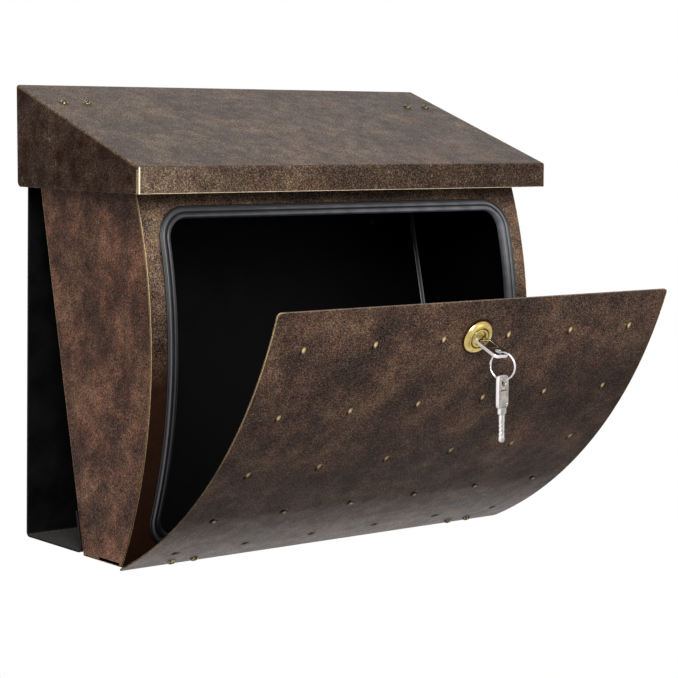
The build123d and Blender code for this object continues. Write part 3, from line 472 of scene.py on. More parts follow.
def hood_painted_shade(tree):
    """Painted shade: the skirts are darker than the top, in blots, and the lip darker towards its right end,
    away from the light.
    """
    across = along(tree, (1, 0, 0))
    outwards = add(tree, "ShaderNodeMath", {0: across}, operation="ABSOLUTE")
    skirt = add(tree, "ShaderNodeMath", {0: outwards, 1: hood_high.x - sheet / 2}, operation="GREATER_THAN")
    blot = add(tree, "ShaderNodeMapRange", {"Value": mottle(tree, 12.0), "To Min": 0.9, "To Max": 0.45})
    end = add(tree, "ShaderNodeMapRange", {"Value": across, "From Min": hood_low.x, "From Max": hood_high.x,
                                           "To Max": 0.3})
    skirt = add(tree, "ShaderNodeMath", {0: skirt, 1: blot}, operation="MULTIPLY")
    lip = add(tree, "ShaderNodeMath", {0: on_lip(tree), 1: end}, operation="MULTIPLY")
    return add(tree, "ShaderNodeMath", {0: skirt, 1: lip}, operation="MAXIMUM")


def hood_wear(tree):
    """The lip's long edges are handled, its ends less and the others hardly."""
    lip = add(tree, "ShaderNodeMapRange", {"Value": along(tree, (0, -1, 0)),
                                           "From Min": -hood_low.y - 6 * MM,
                                           "From Max": -hood_low.y - 2 * MM, "To Min": 0.1})
    outwards = add(tree, "ShaderNodeMath", {0: along(tree, (1, 0, 0))}, operation="ABSOLUTE")
    inset = add(tree, "ShaderNodeMath", {0: hood_high.x, 1: outwards}, operation="SUBTRACT")
    ends = add(tree, "ShaderNodeMapRange", {"Value": inset, "From Min": 0.9 * MM, "From Max": 1.8 * MM,
                                            "To Min": 0.35})
    return add(tree, "ShaderNodeMath", {0: lip, 1: ends}, operation="MULTIPLY")


line_inset = 1.5 * MM


def hood_wear_and_painted_highlights(tree):
    """A bright line beside each end of the lip, a painted highlight that is full at the left end, where the
    light falls, and gone at the right; a paler strip at each end; the lip painted paler towards its left end
    as painted light; and coppery folds, which are worn.
    """
    outwards = add(tree, "ShaderNodeMath", {0: along(tree, (1, 0, 0))}, operation="ABSOLUTE")
    inset = add(tree, "ShaderNodeMath", {0: hood_high.x, 1: outwards}, operation="SUBTRACT")
    off_line = add(tree, "ShaderNodeMath", {0: inset, 1: line_inset}, operation="SUBTRACT")
    off_line = add(tree, "ShaderNodeMath", {0: off_line}, operation="ABSOLUTE")
    line = add(tree, "ShaderNodeMapRange", {"Value": off_line, "From Min": 0.65 * MM, "From Max": 0.2 * MM})
    # painted light: the bright line and the paler lip grow towards the left end, where the light falls
    left = add(tree, "ShaderNodeMapRange", {"Value": along(tree, (-1, 0, 0)), "From Min": hood_low.x,
                                            "From Max": hood_high.x})
    line = add(tree, "ShaderNodeMath", {0: line, 1: left}, operation="MULTIPLY")
    tab = add(tree, "ShaderNodeMath", {0: inset, 1: line_inset}, operation="LESS_THAN")
    tab = add(tree, "ShaderNodeMath", {0: tab, 1: 0.3}, operation="MULTIPLY")
    painted_paler_left = add(tree, "ShaderNodeMath", {0: left, 1: 3.0}, operation="POWER")
    painted_paler_left = add(tree, "ShaderNodeMath", {0: painted_paler_left, 1: mottle(tree, 9.0)}, operation="MULTIPLY")
    painted_paler_left = add(tree, "ShaderNodeMath", {0: painted_paler_left, 1: 0.09}, operation="MULTIPLY")
    tab = add(tree, "ShaderNodeMath", {0: tab, 1: painted_paler_left}, operation="MAXIMUM")
    normal = add(tree, "ShaderNodeSeparateXYZ", {0: add(tree, "ShaderNodeNewGeometry").outputs["Normal"]})
    turn = add(tree, "ShaderNodeMath", {0: normal.outputs["X"], 1: normal.outputs["Z"]},
               operation="MULTIPLY")
    turn = add(tree, "ShaderNodeMath", {0: turn}, operation="ABSOLUTE")
    fold = add(tree, "ShaderNodeMapRange", {"Value": turn, "From Min": 0.1, "From Max": 0.4, "To Max": 0.16})
    fold = add(tree, "ShaderNodeMath", {0: fold, 1: mottle(tree, 2.5, 3.0, 0.7)}, operation="MULTIPLY")
    rubbed = add(tree, "ShaderNodeMath", {0: line, 1: tab}, operation="MAXIMUM")
    rubbed = add(tree, "ShaderNodeMath", {0: on_lip(tree), 1: rubbed}, operation="MULTIPLY")
    return add(tree, "ShaderNodeMath", {0: rubbed, 1: fold}, operation="MAXIMUM")


hood_tones = ("#17110F", "#3B2C24", "#685345", "#B09A7E")
hood_coat = bronze_vein_coat("bronze_vein_coat_on_hood", hood_skin, hood_tones, edge="#FFE8C4",
                             reach=1.0 * MM, sheen=0.14, flecks=0.22, clouds=0.27, spots=hood_wear_and_painted_highlights,
                             shade=hood_painted_shade, wear=hood_wear)
coat(hood_coat, "hood")


# ---------------------------------------------------------------- door
# A bowed panel of 1.2 mm steel, hinged along its foot. Thirty dimples are punched into it in five
# rows of six; highlights are painted in the middle of the upper ones, and shade with a pale crescent in the
# lower ones.
door_hinge = next(joint for joint in frame["joints"] if joint["name"] == "door_hinge")
lock_turn = next(joint for joint in frame["joints"] if joint["name"] == "lock_turn")
lock_middle = Vector(lock_turn["pos_m"])
hinge_line = Vector(door_hinge["pos_m"])
opened = Matrix.Rotation(-math.radians(door_hinge["range_deg"][0]), 4, "X")
door_centre = hinge_line + opened @ (bow_centre - hinge_line)
stand_off = 6.5 * MM
door_radius = bow_radius + stand_off
door_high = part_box("door_panel")[1]
dimple_columns = 6
dimple_side_margin = 30.15 * MM
dimple_top_margin = 29.7 * MM
dimple_pitch = Vector((2 * (door_high.x - dimple_side_margin) / (dimple_columns - 1), 55.9 * MM))


def door_skin(tree):
    return add(tree, "ShaderNodeMath", {0: from_axis(tree, door_centre), 1: door_radius - 0.9 * sheet},
               operation="GREATER_THAN")


def down_the_door(tree):
    """Distance round the bow from the door's upper edge, in metres."""
    ahead = add(tree, "ShaderNodeMath", {0: door_centre.y, 1: along(tree, (0, 1, 0))}, operation="SUBTRACT")
    up = add(tree, "ShaderNodeMath", {0: along(tree, (0, 0, 1)), 1: door_centre.z}, operation="SUBTRACT")
    turn = add(tree, "ShaderNodeMath", {0: up, 1: ahead}, operation="ARCTAN2")
    turned = add(tree, "ShaderNodeMath", {0: door_edge_angle, 1: turn}, operation="SUBTRACT")
    return add(tree, "ShaderNodeMath", {0: turned, 1: door_radius}, operation="MULTIPLY")


def dimple_spots(tree, aside, below, wide, tall):
    """1 in a spot at each dimple, that far in metres beside and below its middle."""
    def offset(distance, start, pitch, middle, half):
        """How far the surface is from the middle of the nearest spot one way, as a share of its half."""
        steps = add(tree, "ShaderNodeMath", {0: distance, 1: start}, operation="SUBTRACT")
        steps = add(tree, "ShaderNodeMath", {0: steps, 1: pitch}, operation="DIVIDE")
        whole = add(tree, "ShaderNodeMath", {0: steps}, operation="ROUND")
        part = add(tree, "ShaderNodeMath", {0: steps, 1: whole}, operation="SUBTRACT")
        beside = add(tree, "ShaderNodeMath", {0: part, 1: pitch, 2: -middle}, operation="MULTIPLY_ADD")
        return add(tree, "ShaderNodeMath", {0: beside, 1: half}, operation="DIVIDE")

    across = offset(along(tree, (1, 0, 0)), dimple_pitch.x / 2, dimple_pitch.x, aside, wide)
    down = offset(down_the_door(tree), dimple_top_margin, dimple_pitch.y, below, tall)
    place = add(tree, "ShaderNodeCombineXYZ", {"X": across, "Y": down})
    away = add(tree, "ShaderNodeVectorMath", {0: place}, operation="LENGTH")
    return add(tree, "ShaderNodeMapRange", {"Value": away, "From Min": 1.2, "From Max": 0.4})


def lower_rows(tree):
    """0 in the upper three rows of dimples and 1 in the lower two."""
    return add(tree, "ShaderNodeMapRange", {"Value": down_the_door(tree), "From Min": 150 * MM,
                                            "From Max": 190 * MM})


def dimple_painted_highlights(tree):
    """Painted highlights: a pale spot in the middle of the upper dimples, fading down those rows, and a
    fainter pale crescent on the lower right rim of the fourth row.
    """
    lower = lower_rows(tree)
    upper = add(tree, "ShaderNodeMapRange", {"Value": down_the_door(tree), "From Min": 60 * MM,
                                             "From Max": 140 * MM, "To Max": 0.6, "To Min": 1.0})
    above = add(tree, "ShaderNodeMath", {0: 1.0, 1: lower}, operation="SUBTRACT")
    upper = add(tree, "ShaderNodeMath", {0: upper, 1: above}, operation="MULTIPLY")
    middle = dimple_spots(tree, 0.3 * MM, -0.3 * MM, 1.6 * MM, 2.4 * MM)
    middle = add(tree, "ShaderNodeMath", {0: middle, 1: upper}, operation="MULTIPLY")
    rim = dimple_spots(tree, 2.4 * MM, 2.6 * MM, 1.6 * MM, 1.6 * MM)
    rim = add(tree, "ShaderNodeMath", {0: rim, 1: lower}, operation="MULTIPLY")
    fourth = add(tree, "ShaderNodeMapRange", {"Value": down_the_door(tree), "From Min": 220 * MM,
                                              "From Max": 230 * MM, "To Min": 0.45, "To Max": 0.0})
    rim = add(tree, "ShaderNodeMath", {0: rim, 1: fourth}, operation="MULTIPLY")
    return add(tree, "ShaderNodeMath", {0: middle, 1: rim}, operation="MAXIMUM")


def dimple_painted_shade(tree):
    """Painted shade: dark in the lower left of the upper dimples, and over the whole of the lower ones."""
    lower = lower_rows(tree)
    upper = add(tree, "ShaderNodeMath", {0: lower, 1: -0.8, 2: 0.8}, operation="MULTIPLY_ADD")
    side = dimple_spots(tree, -2.0 * MM, 1.8 * MM, 1.6 * MM, 2.4 * MM)
    side = add(tree, "ShaderNodeMath", {0: side, 1: upper}, operation="MULTIPLY")
    whole = dimple_spots(tree, -1.0 * MM, -0.5 * MM, 3.0 * MM, 3.2 * MM)
    whole = add(tree, "ShaderNodeMath", {0: whole, 1: lower}, operation="MULTIPLY")
    return add(tree, "ShaderNodeMath", {0: side, 1: whole}, operation="MAXIMUM")


def door_wear(tree):
    """The side edges are handled near the top, more than the upper edge, and less towards the foot."""
    across = add(tree, "ShaderNodeMath", {0: along(tree, (1, 0, 0))}, operation="ABSOLUTE")
    side = add(tree, "ShaderNodeMapRange", {"Value": across, "From Min": door_high.x - 8 * MM,
                                            "From Max": door_high.x - 2 * MM, "To Min": 0.18, "To Max": 0.85})
    height = add(tree, "ShaderNodeMapRange", {"Value": down_the_door(tree), "From Min": 140 * MM,
                                              "From Max": 30 * MM, "To Min": 0.12})
    return add(tree, "ShaderNodeMath", {0: side, 1: height}, operation="MULTIPLY")


def door_painted_shade(tree):
    """Painted shade: a dark ring round the rosette, as its shadow on the door, darker at the right below
    the lock, and a band that darkens down the door and stops short of the foot."""
    place = add(tree, "ShaderNodeTexCoord").outputs["Object"]
    away = add(tree, "ShaderNodeVectorMath", {0: place, 1: lock_middle}, operation="DISTANCE")
    dirt_and_painted_shade = add(tree, "ShaderNodeMapRange", {"Value": away, "From Min": 13.2 * MM, "From Max": 15.5 * MM,
                                            "To Min": 0.75, "To Max": 0.0})
    right = add(tree, "ShaderNodeMapRange", {"Value": along(tree, (1, 0, 0)), "From Min": -30 * MM,
                                             "From Max": 140 * MM, "To Max": 0.38})
    below = add(tree, "ShaderNodeMapRange", {"Value": along(tree, (0, 0, -1)), "From Min": 0.0,
                                             "From Max": 60 * MM})
    down = down_the_door(tree)
    band = add(tree, "ShaderNodeMapRange", {"Value": down, "From Min": 30 * MM, "From Max": 190 * MM,
                                            "To Max": 0.42})
    foot = add(tree, "ShaderNodeMapRange", {"Value": down, "From Min": 215 * MM, "From Max": 260 * MM,
                                            "To Min": 1.0, "To Max": 0.0})
    shaded = add(tree, "ShaderNodeMath", {0: right, 1: below}, operation="MULTIPLY")
    shaded = add(tree, "ShaderNodeMath", {0: shaded, 1: band}, operation="MAXIMUM")
    shaded = add(tree, "ShaderNodeMath", {0: shaded, 1: foot}, operation="MULTIPLY")
    return add(tree, "ShaderNodeMath", {0: dirt_and_painted_shade, 1: shaded}, operation="MAXIMUM")


# the door's upper edge is its outer corner with the greatest angle about the bow's axis
corners = [corner.co for corner in nodes["door_panel"].data.vertices]
door_edge_angle = max(math.atan2(c.z - door_centre.z, door_centre.y - c.y) for c in corners)
door_tones = ("#17110F", "#3C2E28", "#6C5347", "#A68970")
door_coat = bronze_vein_coat("bronze_vein_coat_on_door", door_skin, door_tones, edge="#F3D79C", sheen=0.45,
                             flecks=0.17, spots=dimple_painted_highlights, hollows=dimple_painted_shade, shade=door_painted_shade,
                             wear=door_wear)
coat(door_coat, "door_panel")


# ---------------------------------------------------------------- hinges, nuts and cam
# Pressed steel leaves with rolled knuckles, steel pins, hexagon nuts and the lock's cam. All are
# zinc plated and passivated: a cool satin grey with faint yellow and blue clouds.
zinc, tree = new_material("zinc_plated_steel")
cloud = mottle(tree, 6.0)
bloom = mottle(tree, 1.5, 3.0, 0.6)
colour = add(tree, "ShaderNodeMix", {"Factor": cloud, "A": "#8D8E90", "B": "#B7B4A6"}, data_type="RGBA")
dull = add(tree, "ShaderNodeMath", {0: bloom, 1: 0.35}, operation="MULTIPLY")
colour = add(tree, "ShaderNodeMix", {"Factor": dull, "A": colour, "B": "#5F6064"}, data_type="RGBA")
rough = add(tree, "ShaderNodeMapRange", {"Value": bloom, "To Min": 0.28, "To Max": 0.46})
bump = add(tree, "ShaderNodeBump", {"Height": bloom, "Distance": 0.05 * MM, "Strength": 0.3})
finish_surface(tree, Base_Color=colour, Metallic=1.0, Roughness=rough, Normal=bump)
for side in ("left", "right"):
    coat(zinc, f"hood_hinge_{side}_hood_leaf", f"hood_hinge_{side}_deck_leaf", f"hood_hinge_{side}_pin")
    coat(zinc, f"door_hinge_{side}_frame_leaf", f"door_hinge_{side}_door_leaf", f"door_hinge_{side}_pin")
coat(zinc, "hood_nuts", "body_nuts", "lock_cam", "cam_screw")


# ---------------------------------------------------------------- screws and rivets
# Dome head screws with a cross recess hold the hinges to the hood and the door, and are plated in
# antique brass, which is brown in the hollows. Dome rivets hold the other leaves, and larger screws
# in black zinc hold the body to its bracket. All are cold headed, so their heads are smooth domes.
fasteners = bpy.data.node_groups.new("dome_head_fasteners", "GeometryNodeTree")
socket_ids = {}


def take(name, kind, value=None):
    """Adds a named input to the fastener tree."""
    made = fasteners.interface.new_socket(name, in_out="INPUT", socket_type="NodeSocket" + kind)
    if value is not None:
        made.default_value = value
    socket_ids[name] = made.identifier


take("Places", "Geometry")
take("Head Radius", "Float", 3.15 * MM)
take("Head Height", "Float", 1.8 * MM)
take("Shank Radius", "Float", 1.5 * MM)
take("Shank Length", "Float", 5.0 * MM)
take("Cross Recess", "Bool", True)
take("Second Head", "Bool", False)
take("Seed", "Int", 4)
take("Finish", "Material")
fasteners.interface.new_socket("Fasteners", in_out="OUTPUT", socket_type="NodeSocketGeometry")
given = add(fasteners, "NodeGroupInput").outputs
head_radius, head_height, shank_length = [given[n] for n in ("Head Radius", "Head Height", "Shank Length")]

# the head is cut at a radius of 1 and then scaled, since a boolean of small solids is unreliable
rise = add(fasteners, "ShaderNodeMath", {0: head_height, 1: head_radius}, operation="DIVIDE")
ball = add(fasteners, "GeometryNodeMeshUVSphere", {"Segments": 40, "Rings": 20, "Radius": 1.0})
dome_size = add(fasteners, "ShaderNodeCombineXYZ", {"X": 1.0, "Y": 1.0, "Z": rise})
ball = add(fasteners, "GeometryNodeTransform", {"Geometry": ball, "Scale": dome_size})
above = add(fasteners, "ShaderNodeMath", {0: rise, 1: 2.0}, operation="MULTIPLY")
block_size = add(fasteners, "ShaderNodeCombineXYZ", {"X": 3.0, "Y": 3.0, "Z": above})
block = add(fasteners, "GeometryNodeMeshCube", {"Size": block_size})
lift = add(fasteners, "ShaderNodeCombineXYZ", {"Z": rise})
block = add(fasteners, "GeometryNodeTransform", {"Geometry": block, "Translation": lift})
half_ball = add(fasteners, "GeometryNodeMeshBoolean", {"Mesh 2": [ball, block]}, operation="INTERSECT")
arm_size = add(fasteners, "ShaderNodeCombineXYZ", {"X": 1.15, "Y": 0.24, "Z": rise})
arm = add(fasteners, "GeometryNodeMeshCube", {"Size": arm_size})
arm_level = add(fasteners, "ShaderNodeMath", {0: rise, 1: 1.1}, operation="MULTIPLY")
lift = add(fasteners, "ShaderNodeCombineXYZ", {"Z": arm_level})
arm = add(fasteners, "GeometryNodeTransform", {"Geometry": arm, "Translation": lift})
other_arm = add(fasteners, "GeometryNodeTransform", {"Geometry": arm, "Rotation": (0, 0, math.pi / 2)})
recessed = add(fasteners, "GeometryNodeMeshBoolean", {"Mesh 1": half_ball, "Mesh 2": [arm, other_arm]},
               operation="DIFFERENCE")
shape = add(fasteners, "GeometryNodeSwitch", {"Switch": given["Cross Recess"], "False": half_ball,
                                              "True": recessed}, input_type="GEOMETRY")
real_size = add(fasteners, "ShaderNodeCombineXYZ", {"X": head_radius, "Y": head_radius, "Z": head_radius})
head = add(fasteners, "GeometryNodeTransform", {"Geometry": shape, "Scale": real_size})
shank = add(fasteners, "GeometryNodeMeshCylinder", {"Vertices": 24, "Radius": given["Shank Radius"],
                                                    "Depth": shank_length})
half_way = add(fasteners, "ShaderNodeMath", {0: shank_length, 1: -0.5}, operation="MULTIPLY")
drop = add(fasteners, "ShaderNodeCombineXYZ", {"Z": half_way})
shank = add(fasteners, "GeometryNodeTransform", {"Geometry": shank, "Translation": drop})
formed = add(fasteners, "GeometryNodeTransform", {"Geometry": half_ball, "Scale": real_size})
whole_way = add(fasteners, "ShaderNodeMath", {0: shank_length, 1: -1.0}, operation="MULTIPLY")
drop = add(fasteners, "ShaderNodeCombineXYZ", {"Z": whole_way})
formed = add(fasteners, "GeometryNodeTransform", {"Geometry": formed, "Translation": drop,
                                                  "Rotation": (math.pi, 0, 0)})
screw = add(fasteners, "GeometryNodeJoinGeometry", {0: [head, shank]})
rivet = add(fasteners, "GeometryNodeJoinGeometry", {0: [head, shank, formed]})
whole = add(fasteners, "GeometryNodeSwitch", {"Switch": given["Second Head"], "False": screw, "True": rivet},
            input_type="GEOMETRY")
aim = add(fasteners, "GeometryNodeInputNamedAttribute", {"Name": "aim"}, data_type="FLOAT_VECTOR")
turned = add(fasteners, "FunctionNodeAlignRotationToVector", {"Vector": aim.outputs["Attribute"]}, axis="Z")
spread = add(fasteners, "GeometryNodeInstanceOnPoints", {"Points": given["Places"], "Instance": whole,
                                                         "Rotation": turned})
spin = add(fasteners, "FunctionNodeRandomValue", {2: 0.0, 3: math.pi, "Seed": given["Seed"]},
           data_type="FLOAT")
spin_way = add(fasteners, "ShaderNodeCombineXYZ", {"Z": spin})
spun = add(fasteners, "GeometryNodeRotateInstances", {"Instances": spread, "Rotation": spin_way})
real = add(fasteners, "GeometryNodeRealizeInstances", {"Geometry": spun})
smooth = add(fasteners, "GeometryNodeSetShadeSmooth", {"Geometry": real})
bend = add(fasteners, "GeometryNodeInputMeshEdgeAngle")
sharp = add(fasteners, "ShaderNodeMath", {0: bend, 1: math.radians(32)}, operation="GREATER_THAN")
smooth = add(fasteners, "GeometryNodeSetShadeSmooth", {"Geometry": smooth, "Selection": sharp,
                                                       "Shade Smooth": False}, domain="EDGE")
finished = add(fasteners, "GeometryNodeSetMaterial", {"Geometry": smooth, "Material": given["Finish"]})
add(fasteners, "NodeGroupOutput", {0: finished})


def solids(node):
    """The corners of each separate solid of a CAD node."""
    mesh = bmesh.new()
    mesh.from_mesh(nodes[node].data)
    bmesh.ops.remove_doubles(mesh, verts=mesh.verts, dist=0.001 * MM)
    found, seen = [], set()
    for start in mesh.verts:
        group, ahead = [], [start]
        while ahead:
            corner = ahead.pop()
            if corner in seen:
                continue
            seen.add(corner)
            group.append(corner.co.copy())
            ahead += [edge.other_vert(corner) for edge in corner.link_edges]
        if group:
            found.append(group)
    mesh.free()
    return found


def fastener_set(name, node, body, slot, finish, aim_from, heads, **inputs):
    """One mesh for the fasteners of a CAD node, each standing where its solid stands. heads has the
    head's radius and height, and the height of the solid's head."""
    radius, height, solid_height = heads
    points, ways = [], []
    for corners in solids(node):
        way = aim_from(sum(corners, Vector()) / len(corners))
        levels = [corner.dot(way) for corner in corners]
        foot = [corner for corner, level in zip(corners, levels) if level < min(levels) + 0.02 * MM]
        length = max(levels) - min(levels) - solid_height
        points.append(sum(foot, Vector()) / len(foot) + way * length)
        ways.append(way)
    if inputs.get("Second Head"):
        length -= solid_height
    places = bpy.data.meshes.new(name + "_places")
    places.from_pydata(points, [], [])
    aims = places.attributes.new("aim", "FLOAT_VECTOR", "POINT")
    for i, way in enumerate(ways):
        aims.data[i].vector = way
    holder = bpy.data.objects.new(name + "_places", places)
    bpy.context.scene.collection.objects.link(holder)
    modifier = holder.modifiers.new("fasteners", "NODES")
    modifier.node_group = fasteners
    sizes = {"Head Radius": radius, "Head Height": height, "Shank Length": length, "Finish": finish}
    for key, value in {**sizes, **inputs}.items():
        modifier[socket_ids[key]] = value
    bpy.context.view_layer.update()
    made = bpy.data.meshes.new_from_object(holder.evaluated_get(bpy.context.evaluated_depsgraph_get()))
    holder.modifiers.clear()
    bpy.data.objects.remove(holder)
    return place_piece(name, made, finish, body, slot, node)


def out_of_bow(centre):
    """Gives the way straight out of a bowed sheet at a fastener."""
    return lambda middle: Vector((0, middle.y - centre.y, middle.z - centre.z)).normalized()


antique_brass, tree = new_material("antique_brass_plating")
tarnish = mottle(tree, 1.2, 3.0, 0.6)
bright = add(tree, "ShaderNodeMapRange", {"Value": tarnish, "From Min": 0.45, "From Max": 0.95})
colour = add(tree, "ShaderNodeMix", {"Factor": bright, "A": "#1C140E", "B": "#D6C193"}, data_type="RGBA")
hollow = add(tree, "ShaderNodeAmbientOcclusion", {"Distance": 2.0 * MM}, samples=8)
dirt_and_painted_shade = add(tree, "ShaderNodeMapRange", {"Value": hollow.outputs["AO"], "From Min": 0.85, "From Max": 0.55})
colour = add(tree, "ShaderNodeMix", {"Factor": dirt_and_painted_shade, "A": colour, "B": "#1C130D"}, data_type="RGBA")
worn = add(tree, "ShaderNodeMath", {0: edge_wear(tree, 0.5 * MM), 1: 0.25}, operation="MULTIPLY")
colour = add(tree, "ShaderNodeMix", {"Factor": worn, "A": colour, "B": "#D9C091"}, data_type="RGBA")
rough = add(tree, "ShaderNodeMapRange", {"Value": tarnish, "To Min": 0.42, "To Max": 0.26})
finish_surface(tree, Base_Color=colour, Metallic=0.85, Roughness=rough)

small_head = (3.5 * MM, 2.3 * MM, 1.8 * MM)
large_head = (4.75 * MM, 2.75 * MM, 2.75 * MM)
rivet_head = (2.7 * MM, 0.9 * MM, 0.9 * MM)
into_body = Vector((0, -math.cos(back_lean), math.sin(back_lean)))
fastener_set("hood_hinge_screws", "hood_screws", "hood", "brass_screw", antique_brass,
             lambda middle: slope_up, small_head)
fastener_set("door_hinge_screws", "door_screws", "door", "brass_screw", antique_brass,
             out_of_bow(door_centre), small_head)
black_zinc, tree = new_material("black_passivated_zinc")
cloud = mottle(tree, 3.0, 3.0, 0.6)
rough = add(tree, "ShaderNodeMapRange", {"Value": cloud, "To Min": 0.4, "To Max": 0.55})
colour = add(tree, "ShaderNodeMix", {"Factor": cloud, "A": "#0C0C0D", "B": "#1D1D20"}, data_type="RGBA")
finish_surface(tree, Base_Color=colour, Metallic=0.4, Roughness=rough, Specular_IOR_Level=0.2)
fastener_set("body_mount_screws", "body_screws", "body", "zinc", black_zinc, lambda middle: into_body,
             large_head, **{"Shank Radius": 2.5 * MM})
fastener_set("deck_leaf_rivets", "deck_rivets", "body", "zinc", zinc, lambda middle: slope_up,
             rivet_head, **{"Cross Recess": False, "Second Head": True})
fastener_set("frame_leaf_rivets", "frame_rivets", "body", "zinc", zinc, out_of_bow(bow_centre),
             rivet_head, **{"Cross Recess": False, "Second Head": True})


# ---------------------------------------------------------------- cam lock
# A cam lock with a pale brass rosette, turned from bar: a domed rim, a fine groove and an inner ring
# round the plug. It was polished and lacquered; ambient occlusion darkens its groove, the recess round the
# plug and the undercut below the rim as painted shade.
lock_way = -Vector(lock_turn["axis"])
barrel_length = lock_middle.dot(lock_way) - min(c.dot(lock_way) for c in solids("lock_housing")[0])
barrel_radius, plug_bore = 9.0, 5.35                # in mm, like the outline of the rosette


def lathed(profile, origin, z_way, steps=72):
    """A closed turned solid: (radius, height) points in mm round z_way."""
    x_way = Vector((1, 0, 0))
    y_way = z_way.cross(x_way)
    rings = []
    for k in range(steps):
        out = x_way * math.cos(2 * math.pi * k / steps) + y_way * math.sin(2 * math.pi * k / steps)
        rings.append([origin + (out * radius + z_way * height) * MM for radius, height in profile])
    mesh = bmesh.new()
    skin_over(mesh, rings, closed_way=True)
    return mesh


polished_brass, tree = new_material("lacquered_brass")
tarnish = mottle(tree, 5.0, 3.0, 0.6)
turning = mottle(tree, 0.6, 2.0, 0.6)
colour = add(tree, "ShaderNodeMix", {"Factor": tarnish, "A": "#B59A52", "B": "#D8C582"}, data_type="RGBA")
hollow = add(tree, "ShaderNodeAmbientOcclusion", {"Distance": 1.6 * MM}, samples=8, only_local=True)
dirt_and_painted_shade = add(tree, "ShaderNodeMapRange", {"Value": hollow.outputs["AO"], "From Min": 0.92, "From Max": 0.5})
colour = add(tree, "ShaderNodeMix", {"Factor": dirt_and_painted_shade, "A": colour, "B": "#35280F"}, data_type="RGBA")
rough = add(tree, "ShaderNodeMapRange", {"Value": turning, "To Min": 0.16, "To Max": 0.3})
finish_surface(tree, Base_Color=colour, Metallic=1.0, Roughness=rough)
barrel = barrel_length / MM
rosette = [(12.5, 0.0), (12.5, 0.5), (13.0, 0.6), (12.8, 1.2), (12.3, 2.0), (11.5, 2.8), (10.5, 3.45),
           (9.4, 3.75), (8.6, 3.65), (8.2, 3.3), (7.95, 2.5), (7.6, 2.5), (7.35, 3.1), (7.0, 3.45),
           (6.5, 3.6), (6.0, 3.5), (5.65, 3.1), (plug_bore, 2.5), (plug_bore, -barrel),
           (barrel_radius, -barrel), (barrel_radius, 0.0)]
housing = lathed(rosette, lock_middle, lock_way)
new_piece("lock_rosette", housing, polished_brass, "door", "lock_brass", "lock_housing")
coat(polished_brass, "lock_plug")
coat(zinc, "lock_nut")


# ---------------------------------------------------------------- keys
# Two flat keys for the lock, blanked from nickel plated brass sheet: a bow with a raised rim round a
# shallow panel, a shoulder, and a grooved blade with cuts down both edges. The plating is bright and
# finely scratched from use, and one key stays in the lock while the other hangs from it.
key_bow = Vector((14.0, 2.6, 23.2))
collar_length, collar_width = 4.2, 8.4
blade_width, blade_thickness, blade_cuts = 5.4, 2.0, 4
plug_proud = 1.8
blade_length = plug_proud + barrel_length / MM - 1.45
hole_radius, hole_inset = 2.8, 5.0
bow_rim = 2.0


def rounded(width, low, high, radius, steps=6):
    """Loop of a rounded rectangle in the (across, up) plane, centred across."""
    loop = []
    for side, level, start in ((1, high - radius, 0), (-1, high - radius, 90), (-1, low + radius, 180),
                               (1, low + radius, 270)):
        for k in range(steps + 1):
            turn = math.radians(start + 90 * k / steps)
            loop.append((side * (width / 2 - radius) + radius * math.cos(turn),
                         level + radius * math.sin(turn)))
    return loop


def plate(thickness, soft, *loops):
    """Flat plate in mm with softened edges: the first loop is its outline and the others are holes."""
    curve = bpy.data.curves.new("plate", "CURVE")
    curve.dimensions, curve.fill_mode = "2D", "BOTH"
    curve.extrude, curve.bevel_depth, curve.bevel_resolution = thickness / 2 - soft, soft, 2
    curve.offset = -soft
    for loop in loops:
        spline = curve.splines.new("POLY")
        spline.points.add(len(loop) - 1)
        for point, (across, high) in zip(spline.points, loop):
            point.co = (across, high, 0, 1)
        spline.use_cyclic_u = True
    holder = bpy.data.objects.new("plate", curve)
    bpy.context.scene.collection.objects.link(holder)
    bpy.context.view_layer.update()
    made = bpy.data.meshes.new_from_object(holder.evaluated_get(bpy.context.evaluated_depsgraph_get()))
    bpy.data.objects.remove(holder)
    return made


def blade_outline():
    """Edge of the blade: a bevelled tip and square cuts with sloping ends."""
    pitch = blade_length / (blade_cuts + 3)
    half, deep = blade_width / 2, 0.9
    edge = [(half * 0.35, -blade_length), (half, -blade_length + 1.3)]
    for i in range(blade_cuts):
        middle = -blade_length + (i + 1.6) * pitch
        depth = deep * (0.55 + 0.45 * ((i * 2) % 3) / 2)
        edge += [(half, middle - pitch * 0.42), (half - depth, middle - pitch * 0.18),
                 (half - depth, middle + pitch * 0.18), (half, middle + pitch * 0.42)]
    edge.append((half, 0.6))
    return edge + [(-across, high) for across, high in reversed(edge)]


